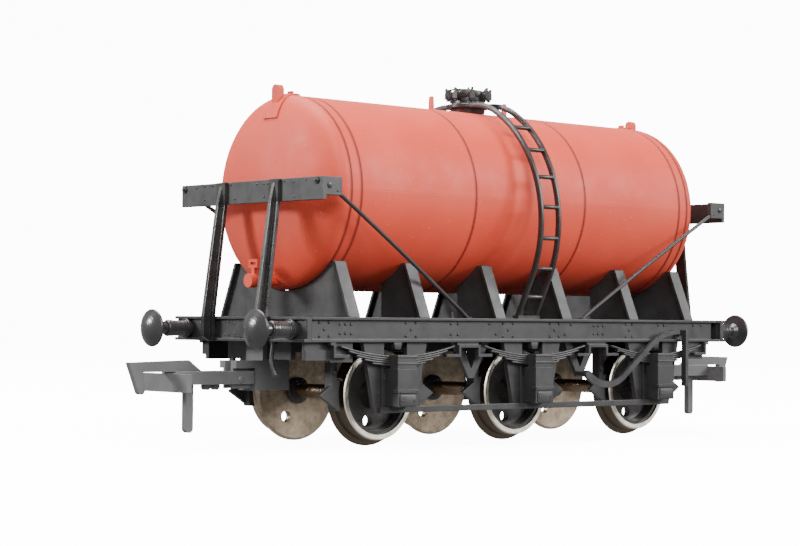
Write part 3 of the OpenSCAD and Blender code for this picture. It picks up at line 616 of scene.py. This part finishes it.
def rounded(width: float, height: float, corner: float, steps: int = 3) -> list[Flat]:
    """An oblong with rounded corners.

    Args:
        width: its size in the first direction.
        height: its size in the second one.
        corner: the radius of its corners.
        steps: the number of facets in a corner.

    Returns:
        Its points, anticlockwise.
    """
    points = []
    for k, (sx, sy) in enumerate(((1, 1), (-1, 1), (-1, -1), (1, -1))):
        for i in range(steps + 1):
            a = math.radians(90 * (k + i / steps))
            points.append((sx * (width / 2 - corner) + corner * math.cos(a),
                           sy * (height / 2 - corner) + corner * math.sin(a)))
    return points


def around(radius: float, steps: int) -> list[Flat]:
    """A circle's points.

    Args:
        radius: the circle's radius.
        steps: the number of points.

    Returns:
        The points, anticlockwise.
    """
    angles = [2 * math.pi * i / steps for i in range(steps)]
    return [(radius * math.cos(a), radius * math.sin(a)) for a in angles]


# Sub-assemblies


@dataclass
class Plain:
    """CAD nodes that need no more than their finish and rounded edges."""

    nodes: tuple[str, ...]
    edge: float = 0.0

    def build(self) -> None:
        """Dresses the nodes."""
        for node in self.nodes:
            dress(node, self.edge)


@dataclass
class Manway:
    """The neck on top of the tank and its lid, held down by wing clamps."""

    edge: float = 0.05
    neck_r: float = 2.45
    neck_top: float = 49.6
    lid_t: float = 0.95
    clamps: int = 8
    turn: float = 11.0
    bolt_ring: float = 3.02
    bolt: Outline = ((0.2, -0.62), (0.26, -0.56), (0.26, -0.3), (0.16, -0.24), (0.16, 0.1))
    beads_z: Flat = (-0.5, -1.25)
    bead: Outline = ((-0.05, -0.09), (0.07, -0.05), (0.1, 0.0), (0.07, 0.05), (-0.05, 0.09))
    crown: Outline = ((2.2, -0.05), (2.15, 0.04), (1.6, 0.14), (0.9, 0.2), (0.42, 0.24),
                      (0.3, 0.34), (0.12, 0.62), (0.05, 0.72))
    lever_path: tuple[Point, ...] = ((-2.6, 1.5, 0.05), (-1.6, 1.15, 0.3), (0.0, 0.55, 0.34),
                                     (1.5, 0.0, 0.28), (2.1, -0.2, 0.1))
    lever_r: float = 0.13

    def build(self) -> None:
        """Dresses the neck and the lid, and adds the bolts and the lever."""
        for node in ("manway_neck", "manway_lid"):
            dress(node, self.edge)
        self.bolts()
        self.lever()

    def bolts(self) -> None:
        """The swing bolts: a stud and a nut under each clamp, and a bead round the neck."""
        shape = Shape()
        for k in range(self.clamps):
            a = math.radians(self.turn + 360 * k / self.clamps)
            x, y = self.bolt_ring * math.cos(a), self.bolt_ring * math.sin(a)
            shape.lathe(self.bolt, (x, y, self.neck_top), UP, 10)
            shape.nut((x, y, self.neck_top + 0.6), UP, 0.3, 0.16)
        for z in self.beads_z:
            bead = [(self.neck_r + r, z + h) for r, h in self.bead]
            shape.lathe(bead, (0, 0, self.neck_top), UP, 48)
        shape.finish("manway_bolts", "fittings_plastic")

    def lever(self) -> None:
        """The lid's crown, its centre spike and the lever that lies across it."""
        shape = Shape()
        top = self.neck_top + self.lid_t
        shape.lathe(self.crown, (0, 0, top), UP, 40)
        shape.sweep([(x, y, top + z) for x, y, z in self.lever_path], around(self.lever_r, 10), UP)
        shape.finish("manway_lever", "fittings_plastic")


@dataclass
class Ladder:
    """The ladder arched over the tank, with its collar round the manway neck."""

    width: float = 3.5
    stringer_w: float = 0.55
    stringer_t: float = 0.8
    corner: float = 0.16
    rung_r: float = 0.3
    hoop_r: float = 16.0
    flat_half: float = 2.9
    flat_z: float = 48.25
    foot_y: float = 12.2
    foot_z: float = 17.6
    rung_first: float = 3.1
    rung_pitch: float = 4.4
    rungs: int = 7
    flare: float = 0.07
    flare_len: Flat = (0.3, 0.5)
    foot_over: float = 1.0
    foot_w: float = 1.2
    foot_steps: tuple[float, ...] = (0.0, 0.4, 0.45)
    arcs: tuple[Point, ...] = ((0.57, 0.0, 30.0), (1.156, 30.0, 115.0))
    steps: int = 26
    neck_r: float = 2.48
    collar_w: float = 0.72
    collar_half: float = 0.3
    collar_edge: float = 0.1

    def line(self) -> list[Flat]:
        """The ladder's middle line on the left side.

        Returns:
            Its points, across the wagon and up, from the foot to the collar.
        """
        points: list[Flat] = [(-self.flat_half + 0.75, self.flat_z), (-self.flat_half, self.flat_z)]
        for share, first, last in self.arcs:
            y0, z0 = points[-1]
            for k in range(1, self.steps + 1):
                a, a0 = math.radians(first + (last - first) * k / self.steps), math.radians(first)
                points.append((y0 + self.hoop_r * share * (math.sin(a0) - math.sin(a)),
                               z0 + self.hoop_r * share * (math.cos(a) - math.cos(a0))))
        points.append((-self.foot_y, self.foot_z))
        return list(reversed(points))

    def at(self, line: Sequence[Flat], way: float) -> Flat:
        """The place at a distance along the line from its foot.

        Args:
            line: the line's points.
            way: the distance.

        Returns:
            The place, across the wagon and up.
        """
        for (y0, z0), (y1, z1) in zip(line, line[1:]):
            length = math.hypot(y1 - y0, z1 - z0)
            if way <= length:
                return y0 + (y1 - y0) * way / length, z0 + (z1 - z0) * way / length
            way -= length
        return line[-1]

    def build(self) -> None:
        """Makes the stringers, rungs, feet and collar as one piece in place of the CAD ladder."""
        shape = Shape()
        line = self.line()
        half, flare = self.width / 2, self.rung_r + self.flare
        near, far = self.flare_len
        rung = [(flare, -half), (flare, -half + near), (self.rung_r, -half + far),
                (self.rung_r, half - far), (flare, half - near), (flare, half)]
        stringer = rounded(self.stringer_w, self.stringer_t, self.corner)
        foot = rounded(self.width + self.foot_over, self.foot_w, 0.15)
        for turn in (1, -1):
            for side in BOTH:
                x = side * half
                shape.sweep([(x * turn, y * turn, z) for y, z in line], stringer, ALONG)
            for k in range(self.rungs):
                y, z = self.at(line, self.rung_first + k * self.rung_pitch)
                shape.lathe(rung, (0, y * turn, z), ALONG, 14)
            shape.loft([[Vector((a, b - self.foot_y * turn, SOLE_TOP + h)) for a, b in foot]
                        for h in self.foot_steps])
        self.collar(shape)
        piece = shape.finish("arched_ladder", "fittings_plastic")
        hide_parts("ladder")

    def collar(self, shape: Shape) -> None:
        """The flat collar that holds the ladder to the manway neck.

        Args:
            shape: the mesh to add to.
        """
        inner, outer = self.neck_r, self.neck_r + self.collar_w
        low, high = self.flat_z - self.collar_half, self.flat_z + self.collar_half
        edge = self.collar_edge
        shape.lathe([(inner, low), (outer - edge, low), (outer, low + edge), (outer, high - edge),
                     (outer - edge, high), (inner, high)], (0, 0, 0), UP, 56)


@dataclass
class EndFrame:
    """The cross beam and two leaning posts at one end of the tank."""

    end: End
    beam_x: float = 40.4
    bolts: Outline = ((-9.4, 34.85), (-3.1, 34.85), (-3.95, 34.85), (9.9, 35.05),
                      (8.1, 35.05), (4.05, 35.0), (-1.6, 34.85), (-7.4, 35.0), (9.9, 33.2),
                      (-11.8, 35.0), (-9.4, 32.9), (11.8, 34.9), (3.1, 33.1), (-3.1, 33.1))
    end_bolts: Outline = ((14.45, 34.75), (-14.1, 34.85))
    post_y: float = 5.7
    post_bend: Flat = (42.75, 17.3)
    post_head: Flat = (40.9, 32.35)
    post_rows: Flat = (-0.66, 0.66)
    row_count: int = 13
    bracket_y: float = 15.2
    bracket_nut: Flat = (1.2, 34.2)
    bracket_rivet: Flat = (2.6, 33.5)
    edge: float = 0.07

    def build(self) -> None:
        """Dresses the beam and the posts, and adds their bolts and rivets."""
        dress(f"end_beam_{self.end.value}", self.edge)
        # The posts take the darker copy of the black, with its painted shade and glints.
        dress(f"end_posts_{self.end.value}", self.edge, SHADED_POST_BLACK)
        shape = Shape()
        for y, z in self.bolts:
            shape.rivet((-self.beam_x, y, z), FORWARD, 0.17, 0.12)
        for y, z in self.end_bolts:
            shape.nut((-self.beam_x, y, z), FORWARD, 0.48, 0.28)
        for side in BOTH:
            y = side * self.bracket_y
            x, z = self.bracket_nut
            shape.nut((-self.beam_x + x, y, z), (0, side, 0), 0.42, 0.12)
            x, z = self.bracket_rivet
            shape.rivet((-self.beam_x + x, y, z), (0, side, 0), 0.15, 0.1)
        shape.finish(f"beam_bolts_{self.end.value}", "black_plastic", turn=self.end.turn())
        self.post_rivets()

    def post_rivets(self) -> None:
        """Two columns of small rivets up each post's flange."""
        shape = Shape()
        (x0, z0), (x1, z1) = self.post_bend, self.post_head
        run = Vector((x0 - x1, 0, z1 - z0)).normalized()
        out = (-run.z, 0, run.x)
        for side in BOTH:
            for row in self.post_rows:
                for k in range(self.row_count):
                    s = (k + 0.6) / self.row_count
                    point = (-(x0 + (x1 - x0) * s), side * self.post_y + row, z0 + (z1 - z0) * s)
                    shape.rivet(point, out, 0.11, 0.07, 8)
        shape.finish(f"post_rivets_{self.end.value}", "black_plastic", turn=self.end.turn())


@dataclass
class TieRods:
    """The four thin rods from the end beams down to the solebars, bowed a little."""

    radius: float = 0.28
    head: Point = (37.3, 14.85, 33.25)
    foot: Point = (11.5, 12.2, 17.3)
    bow: float = 0.22
    steps: int = 24
    foot_plate: Outline = ((0.62, -0.02), (0.62, 0.1), (0.5, 0.18), (0.3, 0.24))

    def build(self) -> None:
        """Makes the rods, with a round plate at each foot, in place of the CAD rods."""
        shape = Shape()
        for sx in BOTH:
            for sy in BOTH:
                head, foot = (Vector((sx * x, sy * y, z)) for x, y, z in (self.head, self.foot))
                path = []
                for k in range(self.steps + 1):
                    s = k / self.steps
                    point = head + (foot - head) * s
                    point.z += self.bow * 4 * s * (1 - s)
                    path.append(tuple(point))
                shape.sweep(path, around(self.radius, 14), ACROSS)
                shape.lathe(self.foot_plate, tuple(foot), UP, 20)
        piece = shape.finish("bowed_tie_rods", "black_plastic")
        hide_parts("tie_rods")


@dataclass
class Solebar:
    """One channel-section side member with its rivets."""

    side: Side
    top_z: float = 16.5
    low_z: float = 14.9
    rivet_r: float = 0.21
    rivet_h: float = 0.18
    fives: Outline = ((-39.3, -37.7), (-24.25, -22.44), (-5.97, -3.99), (3.49, 5.35),
                      (19.7, 21.04))
    threes: tuple[float, ...] = (-35.83, -34.9, -33.95, 12.7, 13.65, 14.65)
    twos: tuple[float, ...] = (-15.97, -14.65, 26.9, 28.27)
    slants: Outline = ((-8.62, -7.34), (7.85, 6.61))
    top_row: Flat = (35.03, 36.93)
    peg_x: float = -15.6
    peg: Outline = ((0.42, -0.05), (0.42, 0.12), (0.24, 0.16), (0.24, 0.72), (0.16, 0.8))
    edge: float = 0.07

    def places(self) -> list[Flat]:
        """Where the rivets stand.

        Returns:
            Their places, along the wagon and up.
        """
        found: list[Flat] = []
        for first, last in self.fives:
            found += [(x, z) for x in (first, last) for z in (self.top_z + 0.1, self.low_z - 0.1)]
            found.append(((first + last) / 2, (self.top_z + self.low_z) / 2))
        found += [(x, z) for x in self.threes for z in (self.top_z - 0.15, self.low_z + 0.25)]
        found += [(x, z) for x in self.twos for z in (self.top_z, self.low_z + 0.15)]
        for high, low in self.slants:
            found += [(high, self.top_z), (low, self.low_z + 0.2)]
        return found + [(x, self.top_z) for x in self.top_row]

    def build(self) -> None:
        """Dresses the solebar and adds its rivets and the peg on its top."""
        dress(f"solebar_{self.side.value}", self.edge)
        shape = Shape()
        for x, z in self.places():
            shape.rivet((x, -WEB_Y, z), LEFTWARD, self.rivet_r, self.rivet_h)
        shape.lathe(self.peg, (self.peg_x, -HALF_W + 0.75, SOLE_TOP), UP, 16)
        shape.finish(f"solebar_rivets_{self.side.value}", "black_plastic", turn=self.side.turn())


@dataclass
class Headstock:
    """One end member of the underframe, with a riveted plate in its middle."""

    end: End
    web_x: float = 41.75
    mid_z: float = 15.65
    edge: float = 0.07
    rivets_y: tuple[float, ...] = (-8.4, -7.9, -3.2, -2.4, 2.4, 3.2, 7.9, 8.4)
    rivets_z: Flat = (14.85, 16.45)
    rivet_r: float = 0.14
    rivet_h: float = 0.1
    plate: Flat = (2.6, 2.2)
    plate_t: float = 0.16
    plate_y: Flat = (-0.9, 0.9)
    plate_z: Flat = (15.0, 16.3)

    def build(self) -> None:
        """Dresses the headstock and adds its rivets and the plate in its middle."""
        dress(f"headstock_{self.end.value}", self.edge)
        shape = Shape()
        for y in self.rivets_y:
            for z in self.rivets_z:
                shape.rivet((-self.web_x, y, z), FORWARD, self.rivet_r, self.rivet_h)
        face_x = self.web_x + self.plate_t
        plate = rounded(*self.plate, 0.2)
        shape.loft([[Vector((-x, a, self.mid_z + b)) for a, b in plate]
                    for x in (self.web_x, face_x)])
        for y in self.plate_y:
            for z in self.plate_z:
                shape.rivet((-face_x, y, z), FORWARD, self.rivet_r, self.rivet_h)
        shape.finish(f"headstock_rivets_{self.end.value}", "black_plastic", turn=self.end.turn())


@dataclass
class Buffers:
    """The two buffers at one end: a slim housing, a shank and a domed head."""

    end: End
    foot: Point = (41.75, 11.3, 15.65)
    sleeve_r: float = 1.05
    rings: Outline = ((0.95, 0.07), (1.3, 0.05), (3.1, 0.05), (3.65, 0.08))
    ring_half: float = 0.16
    ring_flat: float = 0.1

    def build(self) -> None:
        """Dresses the housings and heads, and adds each housing's raised rings."""
        dress(f"buffer_housings_{self.end.value}", 0.04)
        dress(f"buffer_heads_{self.end.value}")
        shape = Shape()
        x, y, z = self.foot
        r, half, flat = self.sleeve_r, self.ring_half, self.ring_flat
        for side in BOTH:
            for out, high in self.rings:
                shape.lathe([(r - 0.05, out - half), (r + high, out - flat), (r + high * 1.2, out),
                             (r + high, out + flat), (r - 0.05, out + half)],
                            (-x, side * y, z), FORWARD, 36)
        shape.finish(f"buffer_rings_{self.end.value}", "buffer_plastic", turn=self.end.turn())


@dataclass
class BrakePipe:
    """The curved brake pipe that hangs under one headstock."""

    end: End
    radius: float = 0.3
    path: tuple[Point, ...] = ((-41.7, -7.1, 14.4), (-41.75, -7.1, 13.7), (-41.85, -7.04, 12.9),
                               (-41.95, -7.02, 12.0), (-42.0, -7.15, 11.1), (-41.95, -7.45, 10.3),
                               (-41.85, -7.8, 9.6))
    collar: Outline = ((0.3, -0.1), (0.45, -0.05), (0.45, 0.35), (0.3, 0.4))
    collar_drop: float = 0.7
    tip: Outline = ((0.28, -0.6), (0.42, -0.5), (0.42, 0.02), (0.3, 0.1))
    between: int = 4

    def build(self) -> None:
        """Makes the pipe, with a collar at its head and a swollen end."""
        shape = Shape()
        curve = self.smooth()
        shape.sweep(curve, around(self.radius, 12), ACROSS)
        x, y, z = curve[0]
        shape.lathe(self.collar, (x, y, z - self.collar_drop), UP, 14)
        down = Vector(curve[-1]) - Vector(curve[-2])
        shape.lathe(self.tip, curve[-1], tuple(down), 14)
        shape.finish(f"brake_pipe_{self.end.value}", "black_plastic", turn=self.end.turn())

    def smooth(self) -> list[Point]:
        """The pipe's points with more between them, on a smooth curve.

        Returns:
            The points, from the headstock down.
        """
        points = [Vector(p) for p in self.path]
        last = len(points) - 1
        found = []
        for k in range(last):
            before, a, b, after = (points[max(0, min(last, k + i))] for i in (-1, 0, 1, 2))
            slope = b - before
            bend = 2 * before - 5 * a + 4 * b - after
            twist = 3 * a - before - 3 * b + after
            for i in range(self.between):
                t = i / self.between
                found.append(tuple(0.5 * (2 * a + slope * t + bend * t ** 2 + twist * t ** 3)))
        return [*found, tuple(points[-1])]


@dataclass
class Springs:
    """The three leaf springs on one side."""

    side: Side
    half: float = 10.1
    taper: float = 7.5
    rise: float = 1.35
    top_z: float = 12.25
    leaf_t: float = 0.28
    gap: float = 0.045
    leaves: int = 5
    width: float = 0.77
    face_y: float = 14.2
    core: Outline = ((-1.6, 0), (1.6, 0), (1.6, 0.5), (-1.6, 0.5))
    steps: int = 28

    def build(self) -> None:
        """Makes each leaf as a bent strip with rounded edges, in place of the CAD springs."""
        shape = Shape()
        thick = self.leaf_t - self.gap
        strip = rounded(self.width, thick, 0.07, 2)
        for x in AXLE_XS:
            for k in range(self.leaves):
                half = self.half - k * self.half / self.taper
                path = []
                for i in range(self.steps + 1):
                    u = half * (2 * i / self.steps - 1)
                    z = self.top_z - (k + 0.5) * self.leaf_t + self.rise * (u / self.half) ** 2
                    path.append((x + u, -self.face_y + self.width / 2, z))
                shape.sweep(path, strip, ACROSS)
            low, high = self.top_z - self.leaves * self.leaf_t + 0.06, self.top_z - 0.03
            shape.loft([[Vector((x + a, -self.face_y + 0.12 + b, z)) for a, b in self.core]
                        for z in (low, high)])
        name = f"leaf_springs_{self.side.value}"
        piece = shape.finish(name, "black_plastic", turn=self.side.turn())
        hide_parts(f"springs_{self.side.value}")


@dataclass
class Axleguards:
    """The guards, axleboxes, spring shackles and tie bar on one side."""

    side: Side
    face_y: float = 15.9
    guard_y: float = 13.4
    edge: float = 0.06
    cover: Flat = (2.9, 1.5)
    cover_drop: float = 0.65
    bands_z: Flat = (11.2, 12.1)
    band: Flat = (3.5, 0.28)
    cheek: Flat = (0.3, 6.2)
    cheek_x: float = 2.55
    row_x: float = 2.95
    row_pitch: float = 1.15
    row_count: int = 5
    stop: Outline = ((-0.75, SOLE_Z), (0.75, SOLE_Z), (0.5, 13.05), (-0.5, 13.05))
    stop_faces: Flat = (13.9, 13.1)

    def build(self) -> None:
        """Dresses the side's running gear and adds its covers, bolts and horn cheeks."""
        for node in ("axleguards", "axleboxes", "shackles", "tie_bar"):
            dress(f"{node}_{self.side.value}", self.edge)
        shape = Shape()
        for x in AXLE_XS:
            self.box_details(shape, x)
            self.horn_details(shape, x)
        shape.finish(f"axlebox_details_{self.side.value}", "black_plastic", turn=self.side.turn(),
                     bevel=0.03, smooth=50)

    def box_details(self, shape: Shape, x: float) -> None:
        """The cover plate, its bolts and the buckle's bands on one axlebox.

        Args:
            shape: the mesh to add to.
            x: the axle's place along the wagon.
        """
        y, z = -self.face_y, AXLE_Z - self.cover_drop
        shape.plate(rounded(*self.cover, 0.3), (x, y, z), (-0.05, 0.12))
        for side in BOTH:
            shape.rivet((x + side * 1.1, y - 0.12, z), LEFTWARD, 0.17, 0.12, 10)
            shape.rivet((x + side * 1.45, y - 0.25, AXLE_Z + 0.55), LEFTWARD, 0.13, 0.09, 8)
        for z in self.bands_z:
            shape.plate(rounded(*self.band, 0.08), (x, y + 0.15, z), (-0.05, 0.09))

    def horn_details(self, shape: Shape, x: float) -> None:
        """The two horn cheeks beside an axlebox and the bump stop over it.

        Args:
            shape: the mesh to add to.
            x: the axle's place along the wagon.
        """
        y = -self.guard_y
        for side in BOTH:
            shape.plate(rounded(*self.cheek, 0.1), (x + side * self.cheek_x, y, AXLE_Z + 1.1),
                        (0.0, 0.3))
            for k in range(self.row_count):
                place = (x + side * self.row_x, y, AXLE_Z + 3.8 - self.row_pitch * k)
                shape.rivet(place, LEFTWARD, 0.13, 0.1, 8)
        shape.plate(self.stop, (x, 0, 0), self.stop_faces)


@dataclass
class BrakeGear:
    """The hangers, brake shoes, hand levers and their guards."""

    edge: float = 0.06
    pin: Outline = ((0.3, -0.95), (0.42, -0.85), (0.42, -0.75), (0.26, -0.7),
                    (0.26, 0.7), (0.42, 0.75), (0.42, 0.85), (0.3, 0.95))
    pin_y: float = WHEEL_BACK + 1.9
    pin_out: float = 7.6
    pin_up: float = 3.0

    def build(self) -> None:
        """Dresses the brake gear and adds the pins that carry the shoes."""
        for node in ("v_hangers", "brake_shoes"):
            dress(node, self.edge)
        for side in Side:
            dress(f"brake_lever_{side.value}", 0.1)
            dress(f"lever_guard_{side.value}", self.edge)
        shape = Shape()
        for side in BOTH:
            for x in AXLE_XS:
                for way in BOTH:
                    place = (x + way * self.pin_out, side * self.pin_y, AXLE_Z + self.pin_up)
                    shape.lathe(self.pin, place, ACROSS, 16)
        shape.finish("brake_pins", "black_plastic")


@dataclass
class Coupling:
    """The hook-and-bar coupling at one end: its mount, the bumper bar and the lifting hook."""

    end: End
    pivot_x: float = 42.7
    hook_z: float = 8.95
    head_y: float = 1.63
    head_r: float = 0.5
    head_h: float = 0.2
    edge: float = 0.08

    def build(self) -> None:
        """Dresses the coupling and adds the pin's two round heads."""
        for node in ("coupling_mount", "bumper", "hook"):
            dress(f"{node}_{self.end.value}", self.edge)
        shape = Shape()
        for side in BOTH:
            shape.rivet((-self.pivot_x, side * self.head_y, self.hook_z), (0, side, 0), self.head_r,
                        self.head_h, 20)
        shape.finish(f"coupling_pin_{self.end.value}", "coupling_plastic", turn=self.end.turn())


@dataclass
class Wheelset:
    """One axle with its plastic-centred wheel, its bright tyre and its one-piece metal wheel."""

    number: int
    bush: Outline = ((1.02, -0.02), (1.85, -0.02), (1.85, 0.45), (1.7, 0.6), (1.32, 0.65),
                     (1.22, 1.0), (1.02, 1.05))

    def build(self) -> None:
        """Dresses the wheelset and adds the plastic bush of the metal wheel."""
        for node in ("axle", "tyre", "wheel_centre", "metal_wheel"):
            dress(f"{node}_{self.number}")
        shape = Shape()
        place = (AXLE_XS[self.number - 1], WHEEL_BACK, AXLE_Z)
        shape.lathe(self.bush, place, LEFTWARD, 40)
        shape.finish(f"wheel_bush_{self.number}", "wheel_plastic", f"wheelset_{self.number}")


# Studio


@dataclass(frozen=True)
class Lamp:
    """A soft square light."""

    name: str
    place: Point
    size: float
    power: float
    aim: Point = (0.0, 0.0, 0.025)

    def make(self) -> None:
        """Hangs the light."""
        data = bpy.data.lights.new(self.name, "AREA")
        data.shape = "SQUARE"
        data.size = self.size
        data.energy = self.power
        lamp = show(self.name, data)
        lamp.location = self.place
        way = Vector(self.aim) - Vector(self.place)
        lamp.rotation_euler = way.to_track_quat("-Z", "Y").to_euler()


@dataclass
class Studio:
    """A pale floor with a curved backdrop, the lights and the camera."""

    camera_place: Point = (-208.958, -216.705, 16.923)
    yaw: float = 42.09
    pitch: float = 1.32
    roll: float = 0.458
    lens: float = 92.5
    sky: float = 0.4
    glow: float = 12.0
    floor_rings: tuple[float, ...] = (0.02, 0.4, 0.9)
    cove_r: float = 0.4
    wall_top: float = 0.9
    facets: int = 96
    lamps: tuple[Lamp, ...] = (
        Lamp("right_softbox", (0.6, -0.72, 0.4), 0.4, 11.3),
        Lamp("left_softbox", (-0.62, 0.42, 0.3), 0.17, 6.4),
        Lamp("top_softbox", (-0.05, 0.12, 0.6), 0.5, 8.5, aim=(0.0, 0.0, 0.03)),
        Lamp("front_fill", (-0.26, -0.4, 0.3), 0.35, 3.4),
    )

    def build(self) -> None:
        """Sets up the floor, the world, the lights and the camera."""
        self.floor()
        world = bpy.data.worlds.new("studio")
        world.use_nodes = True
        background = world.node_tree.nodes["Background"]
        background.inputs["Color"].default_value = (1.0, 1.0, 1.0, 1.0)
        background.inputs["Strength"].default_value = self.sky
        bpy.context.scene.world = world
        for lamp in self.lamps:
            lamp.make()
        self.camera()

    def floor(self) -> None:
        """A round pale floor whose rim curves up into a backdrop."""
        nodes = Nodes("pale_floor")
        nodes.shader.inputs["Base Color"].default_value = (0.9, 0.9, 0.89, 1.0)
        nodes.set(Roughness=0.8, Emission_Strength=self.glow)
        nodes.shader.inputs["Emission Color"].default_value = (1.0, 1.0, 1.0, 1.0)
        rim, cove = self.floor_rings[-1], self.cove_r
        rings = [(r, 0.0) for r in self.floor_rings]
        rings += [(rim + cove * math.sin(math.radians(a)), cove - cove * math.cos(math.radians(a)))
                  for a in range(10, 91, 10)]
        rings += [(rim + cove, self.wall_top)]
        shape = Shape()
        shape.loft([[Vector((x, y, z)) for x, y in around(r, self.facets)] for r, z in rings],
                   caps=False)
        shape.mesh.verts.ensure_lookup_table()
        shape.mesh.faces.new(shape.mesh.verts[:self.facets])
        floor = shape.show("studio_floor", nodes.material)
        floor.visible_diffuse = False
        floor.visible_glossy = False

    def camera(self) -> None:
        """Puts the camera in its place."""
        yaw, pitch, roll = (math.radians(v) for v in (self.yaw, self.pitch, self.roll))
        level = math.cos(pitch)
        ahead = Vector((math.sin(yaw) * level, math.cos(yaw) * level, math.sin(pitch)))
        right = Vector((math.cos(yaw), -math.sin(yaw), 0.0))
        up = right.cross(ahead)
        flat = right * math.cos(roll) + up * math.sin(roll)
        over = up * math.cos(roll) - right * math.sin(roll)
        turn = Matrix((flat, over, -ahead)).transposed().to_4x4()
        data = bpy.data.cameras.new("camera")
        data.lens = self.lens
        data.sensor_width = 36.0
        data.clip_start = 0.01
        camera = show("camera", data)
        camera.matrix_world = Matrix.Translation(Vector(self.camera_place) * MM) @ turn
        bpy.context.scene.camera = camera


class Part(Protocol):
    """A sub-assembly that can be built."""

    def build(self) -> None:
        """Makes and dresses its pieces."""


def main() -> None:
    """Builds the studio and every sub-assembly, in order."""
    logging.basicConfig(level=logging.INFO, format="%(message)s")
    Studio().build()
    parts: list[Part] = [Plain(("tank_upper", "tank_lower")),
                         Plain(("lifting_lugs", "end_fittings"), 0.05), Manway(), Ladder(),
                         Plain(("saddles",), 0.07), TieRods(),
                         Plain(("floor", "inner_frames"), 0.05), BrakeGear()]
    parts += [EndFrame(end) for end in End]
    parts += [Solebar(side) for side in Side]
    parts += [kind(end) for kind in (Headstock, Buffers, BrakePipe) for end in End]
    parts += [kind(side) for kind in (Springs, Axleguards) for side in Side]
    parts += [Coupling(end) for end in End]
    parts += [Wheelset(number) for number in range(1, len(AXLE_XS) + 1)]
    for part in parts:
        part.build()


if __name__ == "__main__":
    main()
